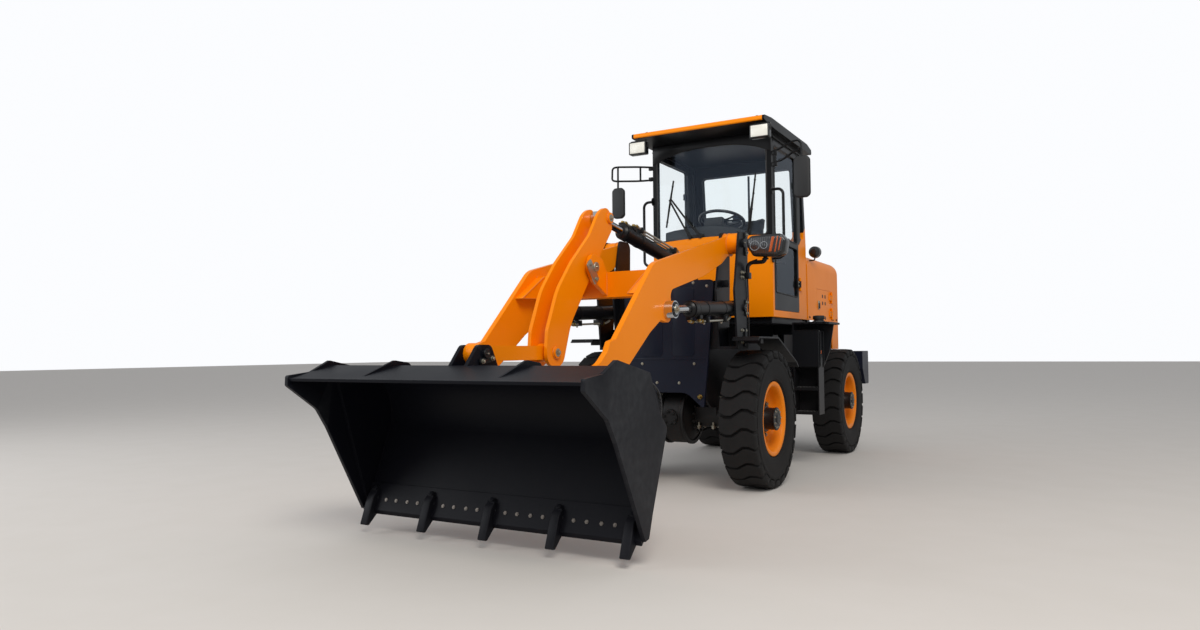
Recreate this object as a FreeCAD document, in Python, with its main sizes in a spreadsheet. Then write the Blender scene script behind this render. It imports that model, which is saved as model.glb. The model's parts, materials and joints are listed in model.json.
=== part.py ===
import FreeCAD, Part
import math
import os
import re

# Articulated wheel loader, full size, in millimetres.
# +Z is up, -Y is the digging end and +X is the driver's left.
# Places below are counted from the middle of the front axle on the ground.
# The finished pieces are then shifted along Y, so that the origin is under the middle of the machine.

os.makedirs("parts", exist_ok=True)
doc = FreeCAD.newDocument("WheelLoader")

# Driving sizes, kept in the sheet
sizes = {
    # stance
    "wheelbase": 2482,
    "track": 1320,
    "front_reach": 3143,
    "tail_reach": 206,
    # wheels
    "tyre_radius": 530,
    "tyre_width": 280,
    "lug_count": 24,
    "groove_deep": 22,
    "groove_wide": 20,
    "groove_lean": 34,
    "rim_half": 120,
    "rim_radius": 256,
    "flange_radius": 286,
    "rim_wall": 12,
    "hub_radius": 85,
    "hub_reach": 142,
    "drum_radius": 150,
    # running clearances
    "gap": 0.3,
    "pin_play": 0.05,
    # articulation
    "hinge_y": 1240,
    "hinge_low": 640,
    "hinge_high": 1060,
    "tongue_thick": 50,
    "fork_thick": 25,
    "hinge_pin": 35,
    # towers
    "tower_inner": 436,
    "tower_outer": 584,
    "tower_plate": 16,
    "tower_top": 1970,
    "shelf_z": 1090,
    # boom
    "pivot_y": -150,
    "pivot_z": 1886,
    "pivot_pin": 35,
    "boom_reach": 2175,
    "boom_drop": 996,
    "boom_inner": 457,
    "boom_plate": 36,
    "tip_radius": 62,
    "tip_pin": 30,
    "beam_front": -1420,
    "beam_deep": 150,
    "beam_low": 1420,
    "beam_high": 1590,
    "beam_wall": 12,
    # rocker and link
    "rocker_y": -1577,
    "rocker_z": 1611,
    "rocker_pin": 32,
    "rocker_inner": 48,
    "rocker_plate": 24,
    "arm_pin": 28,
    "link_half": 42,
    "lug_plate": 28,
    # lift cylinders
    "lift_base_y": -148,
    "lift_base_z": 1385,
    "lift_eye_y": -1315,
    "lift_eye_z": 1330,
    "lift_radius": 54,
    "lift_head": 30,
    "lift_rod": 28,
    "lift_barrel": 875,
    "lift_pin": 28,
    # tilt cylinder
    "tilt_base_y": 120,
    "tilt_base_z": 1748,
    "tilt_radius": 52,
    "tilt_rod": 28,
    "tilt_barrel": 1130,
    "mast_inner": 54,
    "mast_plate": 22,
    # steering cylinders
    "steer_base_x": 200,
    "steer_base_y": 1850,
    "steer_eye_x": 200,
    "steer_eye_y": 1100,
    "steer_z": 800,
    "steer_radius": 38,
    "steer_rod": 20,
    "steer_barrel": 480,
    "steer_pin": 18,
    # bucket
    "bucket_half": 955,
    "bucket_wall": 18,
    "bucket_side": 22,
    "end_plate": 12,
    "edge_thick": 28,
    "tooth_edge": 85,
    "tooth_wide": 50,
    "ear_plate": 22,
    # front frame
    "frame_half": 320,
    "frame_plate": 20,
    "frame_low": 612,
    "frame_front": -230,
    "frame_back": 1040,
    "cover_half": 400,
    "cover_thick": 26,
    "axle_tube": 80,
    "axle_case": 215,
    # rear frame
    "rail_half": 325,
    "rail_plate": 25,
    "rail_low": 640,
    "rail_high": 960,
    "cross_y": 1390,
    "rail_back": 2900,
    "deck_z": 1290,
    "deck_thick": 40,
    # cab
    "cab_half": 568,
    "cab_front": 679,
    "cab_back": 1700,
    "cab_floor": 1345,
    "cab_top": 2955,
    "cab_wall": 40,
    "sill_z": 2060,
    "door_front": 722,
    "door_back": 1450,
    "door_low": 1405,
    "door_head": 65,
    "door_rail_z": 2040,
    "door_thick": 34,
    "hinge_knuckle": 9,
    "hinge_wire": 5,
    "glass_thick": 6,
    "roof_half": 619,
    "roof_front": 355,
    "roof_back": 1780,
    "roof_thick": 79,
    # hood and rear
    "hood_half": 572,
    "hood_front": 1722,
    "hood_back": 2890,
    "hood_top": 1990,
    "hood_low": 1345,
    "hood_tail_low": 1060,
    "hood_wall": 10,
    "hatch_front": 2050,
    "hatch_back": 2590,
    "hatch_high": 1665,
    "engine_half": 270,
    "engine_front": 1790,
    "engine_back": 2480,
    "engine_low": 880,
    "engine_high": 1520,
    "radiator_half": 290,
    "radiator_y": 2745,
    "weight_half": 815,
    "weight_low": 680,
    "weight_high": 1037,
    "weight_step": 170,
    "weight_room": 30.5,
    "tow_z": 790,
    "tow_pin": 18,
    # saddle boxes and fenders
    "box_inner": 600,
    "box_outer": 834,
    "box_front": 1100,
    "box_back": 1290,
    "box_low": 905,
    "box_high": 1225,
    "ladder_low": 480,
    "platform_outer": 925,
    "platform_back": 1520,
    "platform_thick": 18,
    "fender_outer": 804,
    "fender_thick": 12,
    "fender_top": 1160,
}

sheet = doc.addObject("Spreadsheet::Sheet", "Sizes")
for row, (alias, value) in enumerate(sizes.items(), 1):
    sheet.set("A%d" % row, alias)
    sheet.set("B%d" % row, str(value))
    sheet.setAlias("B%d" % row, alias)
doc.recompute()


class Named:
    """The sheet's cells, read by name."""

    def __getattr__(self, alias):
        return float(sheet.get(alias))


s = Named()
word = re.compile(r"[a-z][a-z_]*[a-z]")


def bind(thing, prop, formula):
    # ties one property to the sheet, with sheet names written plainly in the formula
    text = word.sub(lambda m: "Sizes." + m.group(0) if m.group(0) in sizes else m.group(0), str(formula))
    thing.setExpression(prop, text)


# Primitives

def box(name, x, y, z):
    # each of x, y and z is a pair of formulas, low and high
    made = doc.addObject("Part::Box", name)
    for prop, base, (low, high) in (("Length", "x", x), ("Width", "y", y), ("Height", "z", z)):
        bind(made, prop, "(%s) - (%s)" % (high, low))
        bind(made, "Placement.Base." + base, low)
    return made


turns = {
    "x": FreeCAD.Rotation(FreeCAD.Vector(0, 1, 0), 90),
    "y": FreeCAD.Rotation(FreeCAD.Vector(1, 0, 0), -90),
    "z": FreeCAD.Rotation(),
}


def bar(name, axis, radius, low, high, first, second):
    # a round bar along an axis; first and second are its other two coordinates, in X, Y, Z order
    made = doc.addObject("Part::Cylinder", name)
    made.Placement = FreeCAD.Placement(FreeCAD.Vector(), turns[axis])
    bind(made, "Radius", radius)
    bind(made, "Height", "(%s) - (%s)" % (high, low))
    others = [a for a in "xyz" if a != axis]
    bind(made, "Placement.Base." + axis, low)
    bind(made, "Placement.Base." + others[0], first)
    bind(made, "Placement.Base." + others[1], second)
    return made


def sloped(name, radius, x, start, end):
    # a round bar between two (y, z) points, in the upright plane at x
    made = doc.addObject("Part::Cylinder", name)
    along = FreeCAD.Vector(0, end[0] - start[0], end[1] - start[1])
    bind(made, "Radius", radius)
    made.Height = along.Length
    turn = FreeCAD.Rotation(FreeCAD.Vector(0, 0, 1), along)
    made.Placement = FreeCAD.Placement(FreeCAD.Vector(x, start[0], start[1]), turn)
    return made


# Profiles: rows are (first, second, corner radius), and the radius may be left out

def rounded(rows):
    # the edges of a closed outline, with its corners rounded by tangent arcs
    points = [FreeCAD.Vector(r[0], r[1], 0) for r in rows]
    radii = [r[2] if len(r) > 2 else 0 for r in rows]
    count = len(points)
    starts, ends, arcs = [], [], []
    for i, here in enumerate(points):
        back = (points[i - 1] - here)
        ahead = (points[(i + 1) % count] - here)
        if radii[i] == 0:
            starts.append(here)
            ends.append(here)
            arcs.append(None)
            continue
        half = back.getAngle(ahead) / 2
        back.normalize()
        ahead.normalize()
        reach = radii[i] / math.tan(half)
        middle = (back + ahead).normalize() * (radii[i] / math.sin(half) - radii[i])
        starts.append(here + back * reach)
        ends.append(here + ahead * reach)
        arcs.append(here + middle)
    edges = []
    for i in range(count):
        if arcs[i] is not None:
            edges.append(Part.Arc(starts[i], arcs[i], ends[i]))
        after = starts[(i + 1) % count]
        if (after - ends[i]).Length > 0.01:
            edges.append(Part.LineSegment(ends[i], after))
    return edges


planes = {"x": "YZ_Plane", "y": "XZ_Plane", "z": "XY_Plane"}


def sketch_in(body, axis, name, outlines, circles, offset):
    # a sketch square to an axis; along Y its own normal points to the front
    drawn = body.newObject("Sketcher::SketchObject", name)
    plane = [p for p in body.Origin.OriginFeatures if p.Role == planes[axis]][0]
    drawn.AttachmentSupport = [(plane, "")]
    drawn.MapMode = "FlatFace"
    bind(drawn, "AttachmentOffset.Base.z", offset)
    for outline in outlines:
        drawn.addGeometry(rounded(outline), False)
    for first, second, radius in circles:
        centre = FreeCAD.Vector(first, second, 0)
        drawn.addGeometry(Part.Circle(centre, FreeCAD.Vector(0, 0, 1), radius), False)
    return drawn


def plate(name, axis, low, high, outline, circles=(), inner=()):
    # an outline padded along an axis from low to high, with round and shaped cut-outs
    body = doc.addObject("PartDesign::Body", name)
    offset = low if axis != "y" else "-(%s)" % high
    drawn = sketch_in(body, axis, name + "_sketch", [outline] + list(inner), circles, offset)
    pad = body.newObject("PartDesign::Pad", name + "_pad")
    pad.Profile = drawn
    bind(pad, "Length", "(%s) - (%s)" % (high, low))
    body.Tip = pad
    return body


def turned(name, outline, x, y, z):
    # an outline of (along X, radius) rows turned about the X axis and set at x, y, z
    body = doc.addObject("PartDesign::Body", name)
    drawn = sketch_in(body, "z", name + "_sketch", [outline], (), "0")
    spin = body.newObject("PartDesign::Revolution", name + "_turn")
    spin.Profile = drawn
    spin.ReferenceAxis = (drawn, ["H_Axis"])
    spin.Angle = 360
    body.Tip = spin
    for base, formula in (("x", x), ("y", y), ("z", z)):
        bind(body, "Placement.Base." + base, formula)
    return body


def fuse(name, pieces):
    made = doc.addObject("Part::MultiFuse", name)
    made.Shapes = pieces
    return made


def cut(name, base, tool):
    made = doc.addObject("Part::Cut", name)
    made.Base = base
    made.Tool = tool
    return made


def common(name, first, second):
    made = doc.addObject("Part::Common", name)
    made.Base = first
    made.Tool = second
    return made


def mirror(name, source):
    # the same piece on the other side of the machine
    made = doc.addObject("Part::Mirroring", name)
    made.Source = source
    made.Normal = FreeCAD.Vector(1, 0, 0)
    return made


def pair(name, source):
    # a piece and its mirror image, as one object of two solids
    made = doc.addObject("Part::Compound", name)
    made.Links = [source, mirror(name + "_other", source)]
    return made


nodes = {}


def node(name, made):
    nodes[name] = made
    return made


def from_pin(pin, rows):
    # outline rows counted from a pin: (ahead along Y, up, corner radius)
    return [(pin[0] + r[0], pin[1] + r[1]) + tuple(r[2:]) for r in rows]


def between(start, end, reach):
    # the point at a distance from start towards end
    length = math.hypot(end[0] - start[0], end[1] - start[1])
    share = reach / length
    return (start[0] + (end[0] - start[0]) * share, start[1] + (end[1] - start[1]) * share)


# Pin centres, as (y, z)
boom_pivot = (s.pivot_y, s.pivot_z)
bucket_pin = (s.pivot_y - s.boom_reach, s.pivot_z - s.boom_drop)
rocker_pivot = (s.rocker_y, s.rocker_z)
rocker_top = (s.rocker_y + 259, s.rocker_z + 357)
rocker_foot = (s.rocker_y - 423, s.rocker_z - 554)
link_pin = (bucket_pin[0] - 358, bucket_pin[1] + 166)
lift_base = (s.lift_base_y, s.lift_base_z)
lift_eye = (s.lift_eye_y, s.lift_eye_z)
tilt_base = (s.tilt_base_y, s.tilt_base_z)
lift_x = s.boom_inner + s.boom_plate + 33
wheel_x = s.track / 2

# The counterweight stands clear of the rear tyres at its step, and its tail lies behind them
rear_end = s.wheelbase + s.tyre_radius + s.tail_reach
step_up = s.weight_low + s.weight_step - s.tyre_radius
weight_front = s.wheelbase + math.sqrt(s.tyre_radius ** 2 - step_up ** 2) + s.weight_room


# Wheels

def tyre_rings():
    # (place along X, distance of the flats) from the bead to the tread and back to the other bead
    half, seat, top = s.tyre_width / 2, s.rim_half, s.tyre_radius
    side = [(seat - 24, s.rim_radius + 6), (half - 10, s.flange_radius + 44), (half, top - 80), (half - 14, top)]
    return [(-x, r) for x, r in side] + [(x, r) for x, r in reversed(side)]


def tyre_blank():
    # one flat for each lug, and a chevron groove between neighbours
    count = int(s.lug_count)
    step = 360 / count
    half_step = math.radians(step / 2)

    def corner(x, flat, k):
        angle, reach = math.radians((k + 0.5) * step), flat / math.cos(half_step)
        return FreeCAD.Vector(x, reach * math.sin(angle), -reach * math.cos(angle))

    rings = tyre_rings()
    loops = [[corner(x, r, k) for k in range(count)] for x, r in (rings[0], rings[-1])]
    for (x0, r0), (x1, r1) in zip(rings, rings[1:]):
        loops += [[corner(x0, r0, k), corner(x0, r0, k + 1), corner(x1, r1, k + 1), corner(x1, r1, k)]
                  for k in range(count)]
    body = Part.Solid(Part.Shell([Part.Face(Part.makePolygon(loop + loop[:1])) for loop in loops]))
    if body.Volume < 0:
        body.reverse()
    floor = s.tyre_radius - s.groove_deep
    end, near, far = s.tyre_width / 2 + 10, s.groove_wide / 2, s.groove_lean + s.groove_wide / 2
    path = [(-end, -near), (0, far - s.groove_wide), (end, -near), (end, near), (0, far), (-end, near)]
    points = [FreeCAD.Vector(x, y, -floor) for x, y in path]
    groove = Part.Face(Part.makePolygon(points + points[:1])).extrude(FreeCAD.Vector(0, 0, -2 * s.groove_deep))
    grooves = []
    for k in range(count):
        one = groove.copy()
        one.rotate(FreeCAD.Vector(), FreeCAD.Vector(1, 0, 0), (k + 0.5) * step)
        grooves.append(one)
    bore = Part.makeCylinder(s.rim_radius, 2 * end, FreeCAD.Vector(-end, 0, 0), FreeCAD.Vector(1, 0, 0))
    blank = doc.addObject("Part::Feature", "tyre_blank")
    blank.Shape = body.cut(grooves).cut(bore)
    return blank


def rim_outline():
    # from the drum beside the axle, through the dished disc, to the hub's nose
    seat, wall, disc = s.rim_half, s.rim_wall, 20
    return [
        (-seat, 0), (-seat, s.drum_radius), (-disc, s.drum_radius), (-disc, s.rim_radius - wall),
        (-seat + 14, s.rim_radius - wall), (-seat, s.flange_radius - 24), (-seat, s.flange_radius),
        (-seat + 10, s.flange_radius), (-seat + 20, s.rim_radius), (seat - 20, s.rim_radius),
        (seat - 10, s.flange_radius), (seat, s.flange_radius), (seat, s.flange_radius - 24),
        (seat - 14, s.rim_radius - wall), (10, s.rim_radius - wall), (10, s.hub_radius + 60),
        (55, s.hub_radius + 25), (55, s.hub_radius), (s.hub_reach - 8, s.hub_radius), (s.hub_reach, s.hub_radius - 8),
        (s.hub_reach, 0),
    ]


def wheels():
    blank = tyre_blank()
    for end, y in (("front", "0"), ("rear", "wheelbase")):
        for side, sign in (("left", 1), ("right", -1)):
            label = end + "_" + side
            tyre = doc.addObject("Part::Feature", "tyre_" + label)
            tyre.Shape = blank.Shape
            rim = turned("rim_" + label, rim_outline(), "0", "0", "0")
            for kind, made in (("tyre_", tyre), ("rim_", rim)):
                bind(made, "Placement.Base.x", "%d * track / 2" % sign)
                bind(made, "Placement.Base.y", y)
                bind(made, "Placement.Base.z", "tyre_radius")
                node(kind + label, made)
            if sign < 0:
                rim.Placement.Rotation = FreeCAD.Rotation(FreeCAD.Vector(0, 0, 1), 180)


def axle(name, y, seat_low, seat_half):
    # casing, tubes with brake flanges, and the pads that bolt up to the frame
    end = "track / 2 - rim_half - gap"
    tube = bar(name + "_tube", "x", "axle_tube", "-(%s)" % end, end, y, "tyre_radius")
    case_rows = [(-150, 0), (-150, 80), (-85, s.axle_case, 50), (85, s.axle_case, 50), (150, 80), (150, 0)]
    case = turned(name + "_case", case_rows, "0", y, "tyre_radius")
    nose = bar(name + "_nose", "y", "65", "(%s) - 240" % y, "(%s) + 240" % y, "0", "tyre_radius")
    pieces = [tube, case, nose]
    for sign in (1, -1):
        flange = [(0, 0), (0, s.drum_radius - 20), (25, s.drum_radius - 20), (60, s.axle_tube), (60, 0)]
        made = turned("%s_flange_%d" % (name, sign + 1), flange, "0", y, "tyre_radius")
        bind(made, "Placement.Base.x", "%d * (%s)" % (sign, end))
        if sign > 0:
            made.Placement.Rotation = FreeCAD.Rotation(FreeCAD.Vector(0, 0, 1), 180)
        pieces.append(made)
        low, high = sorted((sign * (seat_half - 160), sign * (seat_half + 25)))
        pad = box("%s_pad_%d" % (name, sign + 1), (low, high), ("(%s) - 80" % y, "(%s) + 80" % y),
                  ("tyre_radius", seat_low))
        pieces.append(pad)
    return node(name, fuse(name, pieces))


# Front chassis

def boom_towers():
    # two plates a side with the boom's and the lift cylinder's pins; rows are counted from the boom pivot
    tower = from_pin(boom_pivot, [
        (-76, 84, 30), (108, 84, 60), (95, -350, 40), (60, -800), (-140, -800), (-188, -375, 60)])
    inner = plate("tower_in", "x", "tower_inner", "tower_inner + tower_plate", tower)
    outer = plate("tower_out", "x", "tower_outer", "tower_outer + tower_plate", tower)
    pivot = bar("pivot_pin_body", "x", "pivot_pin", "tower_inner", "tower_outer + tower_plate + 12",
                "pivot_y", "pivot_z")
    base = bar("lift_pin_body", "x", "lift_pin", "tower_inner", "tower_outer + tower_plate + 12",
               "lift_base_y", "lift_base_z")
    shelf = box("tower_shelf", ("tower_inner", "tower_outer + tower_plate"),
                ("pivot_y - 140", "pivot_y + 75"), ("shelf_z - 20", "shelf_z"))
    web = box("tower_web", ("tower_inner", "tower_outer + tower_plate"),
              ("pivot_y + 50", "pivot_y + 66"), ("shelf_z - 10", "shelf_z + 150"))
    half = fuse("tower_half", [inner, outer, pivot, base, shelf, web])
    return node("boom_towers", pair("boom_towers", half))


def front_frame():
    bench = box("tower_bench", ("frame_half - frame_plate", "tower_inner"),
                ("frame_front", "pivot_y + 75"), ("shelf_z - 20", "shelf_z"))
    side_rows = [
        (s.frame_front, s.frame_low + 60, 40), (s.frame_front, s.shelf_z + 150, 60),
        (60, s.shelf_z + 150, 60), (s.frame_back - 200, s.shelf_z + 60, 60), (s.frame_back, s.shelf_z + 20),
        (s.frame_back, s.frame_low), (s.frame_front + 90, s.frame_low)]
    side = plate("frame_side", "x", "frame_half - frame_plate", "frame_half", side_rows)
    front = box("frame_front_plate", ("-tower_inner", "tower_inner"),
                ("frame_front", "frame_front + 16"), ("shelf_z - 20", "shelf_z + 510"))
    low, reach = s.frame_low + 60, s.frame_half
    chin = plate("frame_chin", "y", "frame_front", "frame_front + 16", [
        (-reach, s.shelf_z), (reach, s.shelf_z), (reach, low), (reach - 45, low), (160, low + 75, 100),
        (-160, low + 75, 100), (-reach + 45, low), (-reach, low)])
    top = box("frame_tie", ("-tower_inner", "tower_inner"),
              ("frame_front", "pivot_y + 80"), ("shelf_z + 494", "shelf_z + 510"))
    deck = box("frame_deck", ("-frame_half", "frame_half"),
               ("frame_front", "frame_back"), ("shelf_z - 20", "shelf_z - 4"))
    back = box("frame_back_plate", ("-frame_half", "frame_half"),
               ("frame_back - 20", "frame_back"), ("frame_low", "shelf_z + 20"))
    mast_rows = [
        (s.frame_front + 16, s.shelf_z + 494), (s.tilt_base_y - 75, s.tilt_base_z + 55, 60),
        (s.tilt_base_y + 75, s.tilt_base_z + 55, 60), (s.tilt_base_y + 90, s.shelf_z - 10),
        (s.frame_front + 16, s.shelf_z - 10)]
    mast = plate("mast_left", "x", "mast_inner", "mast_inner + mast_plate", mast_rows)
    mast_pin = bar("mast_pin", "x", "arm_pin", "-(mast_inner + mast_plate)", "mast_inner + mast_plate",
                   "tilt_base_y", "tilt_base_z")
    tongue = [
        (-150, s.frame_back - 10), (-70, s.hinge_y + 45, 60), (-20, s.hinge_y + 75, 60),
        (20, s.hinge_y + 75, 60), (70, s.hinge_y + 45, 60), (150, s.frame_back - 10)]
    bore = [(0, s.hinge_y, s.hinge_pin + s.pin_play)]
    tongues = [plate("tongue_" + level, "z", "hinge_%s - tongue_thick / 2" % level,
                     "hinge_%s + tongue_thick / 2" % level, tongue, bore) for level in ("low", "high")]
    lugs = []
    for sign in (1, -1):
        x_low, x_high = sorted((sign * (s.steer_eye_x - 30), sign * (s.steer_eye_x + 30)))
        lugs.append(box("steer_lug_%d" % (sign + 1), (x_low, x_high),
                        ("frame_back - 10", "steer_eye_y + 40"),
                        ("steer_z - 62", "steer_z - 22 - gap")))
    pieces = [bench, mirror("tower_bench_other", bench), side, mirror("frame_side_other", side), front, chin,
              top, deck, back, mast, mirror("mast_right", mast), mast_pin] + tongues + lugs
    return node("front_frame", fuse("front_frame", pieces))


def front_cover():
    # pressed panel over the front of the frame, arched over the axle's casing
    top, low = s.shelf_z + 520, s.frame_low
    right = [(s.cover_half, top, 40), (s.cover_half - 50, s.shelf_z - 20), (s.cover_half - 98, low + 2, 12),
             (s.cover_half - 122, low + 14, 20), (160, low + 118, 120)]
    rows = right + [(-r[0],) + tuple(r[1:]) for r in reversed(right)]
    return node("front_cover", plate("cover_panel", "y", "frame_front - cover_thick", "frame_front", rows))


def front_fenders():
    top, wall = s.fender_top, s.fender_thick
    rows = [
        (-420, top - 30), (-395, top, 20), (60, top, 60), (534, top - 196), (589, top - 238),
        (580, top - 245), (526, top - 204), (55, top - wall, 60), (-385, top - wall, 12), (-408, top - 30)]
    skin = plate("fender_skin", "x", "tower_outer + tower_plate", "fender_outer", rows)
    stay = box("fender_stay", ("tower_outer + tower_plate", "fender_outer - 60"),
               ("pivot_y - 40", "pivot_y + 20"), ("shelf_z + 20", "fender_top - fender_thick"))
    return node("front_fenders", pair("front_fenders", fuse("fender_half", [skin, stay])))


def headlamps():
    # winged lamp on a bent tube that stands on the tower's outer face; rows are (out from the tower, height)
    wing = [(58, 1900), (95, 1932), (326, 1935), (368, 1884), (352, 1789), (296, 1763), (108, 1775), (64, 1849)]
    body = plate("lamp_body", "y", "-190", "-80", [(s.tower_outer + out, z, 8) for out, z in wing])
    face = "tower_outer + tower_plate"
    foot = box("lamp_foot", (face, face + " + 42"), ("-140", "-80"), ("1610", "1660"))
    post = bar("lamp_post", "z", "15", "1640", "1742", face + " + 21", "-110")
    arm = bar("lamp_arm", "x", "17", face, "tower_outer + 200", "-110", "1735")
    neck = bar("lamp_neck", "z", "13", "1728", "1790", "tower_outer + 180", "-110")
    return node("headlamps", pair("headlamps", fuse("lamp_half", [body, post, arm, neck, foot])))


# Boom

def boom_outline():
    rear = from_pin(boom_pivot, [(112, 76, 70), (-41, 54, 300)])
    knee = [(-1495, 1623, 200), (-2009, 1133), (-2076, 1118, 20), (-2112, 1059)]
    tip = from_pin(bucket_pin, [(120, 98, 180), (-62, 66, 50), (-62, -62, 60), (30, -70, 80)])
    under = [(-1857, 975, 150), (-1560, 1180, 150)]
    eye = from_pin(lift_eye, [(-90, -70, 50), (50, -90, 60), (92, 30, 60), (15, 122, 60)])
    back = [(-683, 1597, 600), (-326, 1718, 200)]
    pivot = from_pin(boom_pivot, [(-50, -100, 60), (100, -90, 90)])
    return rear + knee + tip + under + eye + back + pivot


def boom():
    bores = [boom_pivot + (s.pivot_pin + s.pin_play,), bucket_pin + (s.tip_pin + s.pin_play,)]
    side = plate("boom_side", "x", "boom_inner", "boom_inner + boom_plate", boom_outline(), bores)
    hub_rows = [boom_pivot + (80,)]
    pieces = [side]
    for name, radius, low, high, pin, hole in (
            ("pivot_boss", "80", "tower_inner + tower_plate + gap", "tower_outer - gap", boom_pivot,
             s.pivot_pin),
            ("tip_boss", "tip_radius", "boom_inner - 4", "boom_inner + boom_plate + 4", bucket_pin,
             s.tip_pin)):
        ring = bar(name + "_ring", "x", radius, low, high, pin[0], pin[1])
        hollow = bar(name + "_bore", "x", hole + s.pin_play, "(%s) - 5" % low, "(%s) + 5" % high,
                     pin[0], pin[1])
        pieces.append(cut(name, ring, hollow))
    eye_boss = bar("eye_boss", "x", "58", "boom_inner + boom_plate",
                   "%f - lift_head - gap" % lift_x, lift_eye[0], lift_eye[1])
    pieces.append(eye_boss)
    half = fuse("boom_half", pieces)
    beam = box("boom_beam", ("-boom_inner", "boom_inner"), ("beam_front", "beam_front + beam_deep"),
               ("beam_low", "beam_high"))
    gusset_rows = [(s.beam_front, s.beam_low + 10), (s.beam_front, s.beam_high - 10),
                   (s.beam_front - 260, s.beam_high - 170)]
    gusset = plate("boom_gusset", "x", "boom_inner - 60", "boom_inner", gusset_rows)
    lug_rows = from_pin(rocker_pivot, [
        (160, -30), (100, 60, 40), (-40, 90, 60), (-85, -10, 60), (-20, -90, 60), (160, -180)])
    lug_low = "rocker_inner + rocker_plate + 6"
    lug = plate("rocker_lug", "x", lug_low, lug_low + " + lug_plate", lug_rows)
    pin = bar("rocker_pin_body", "x", "rocker_pin", "-(%s + lug_plate)" % lug_low,
              lug_low + " + lug_plate", rocker_pivot[0], rocker_pivot[1])
    pieces = [half, mirror("boom_half_other", half), beam, gusset, mirror("boom_gusset_other", gusset),
              lug, mirror("rocker_lug_other", lug), pin]
    return node("boom", fuse("boom", pieces))


def rocker():
    rows = from_pin(rocker_pivot, [
        (299, 285, 60), (268, 440, 70), (130, 395, 200), (-2, 211, 200), (-228, 14, 500), (-394, -172, 400),
        (-507, -419, 120), (-530, -640, 80), (-345, -640, 90), (-250, -380, 400), (20, -40, 200)])
    play = s.pin_play
    bores = [rocker_pivot + (s.rocker_pin + play,), rocker_foot + (30,), rocker_top + (30,)]
    side = plate("rocker_side", "x", "rocker_inner", "rocker_inner + rocker_plate", rows, bores)
    tube = bar("rocker_tube", "x", "68", "-rocker_inner", "rocker_inner", rocker_pivot[0], rocker_pivot[1])
    hole = bar("rocker_tube_bore", "x", "rocker_pin + pin_play", "-rocker_inner - 5", "rocker_inner + 5",
               rocker_pivot[0], rocker_pivot[1])
    pieces = [side, mirror("rocker_side_other", side), cut("rocker_hub", tube, hole)]
    for label, pin in (("foot", rocker_foot), ("top", rocker_top)):
        cap = bar("rocker_cap_" + label, "x", "36", "rocker_inner + 2", "rocker_inner + rocker_plate + 14",
                  pin[0], pin[1])
        pieces += [cap, mirror("rocker_cap_%s_other" % label, cap)]
    return node("rocker", fuse("rocker", pieces))


def link():
    # bar from the rocker's foot to the bucket, with a bored boss at the bucket end
    start, end = rocker_foot, link_pin
    length = math.hypot(end[0] - start[0], end[1] - start[1])
    tilt = math.atan2(end[1] - start[1], end[0] - start[0])
    rows = [(0, 42), (length, 42), (length, -42), (0, -42)]
    turned_rows = [(start[0] + a * math.cos(tilt) - b * math.sin(tilt),
                    start[1] + a * math.sin(tilt) + b * math.cos(tilt)) for a, b in rows]
    strap = plate("link_bar", "x", "-link_half + 10", "link_half - 10", turned_rows)
    near = bar("link_near", "x", "58", "-link_half", "link_half", start[0], start[1])
    far = bar("link_far", "x", "58", "-link_half", "link_half", end[0], end[1])
    hole = bar("link_hole", "x", "arm_pin + pin_play", "-link_half - 5", "link_half + 5", end[0], end[1])
    return node("bucket_link", cut("bucket_link", fuse("link_solid", [strap, near, far]), hole))


# Bucket, in its parked tilt; outlines are counted from its hinge pin

floor_end = (-235, -751)
heel_corner = (63, -14)
roof_end = (-500, 87)
heel_radius = 241


def offset_path(points, wall):
    # three points moved outwards by a wall, keeping the two runs parallel
    first, corner, last = [FreeCAD.Vector(p[0], p[1], 0) for p in points]
    up = FreeCAD.Vector(0, 0, 1)
    run_in = (corner - first).normalize()
    run_out = (last - corner).normalize()
    out_in = run_in.cross(up)
    out_out = run_out.cross(up)
    turn = math.radians(180) - (run_in * -1).getAngle(run_out)
    shift = (out_in + out_out).normalize() * (wall / math.cos(turn / 2))
    moved = [first + out_in * wall, corner + shift, last + out_out * wall]
    return [(p.x, p.y) for p in moved]


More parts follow.
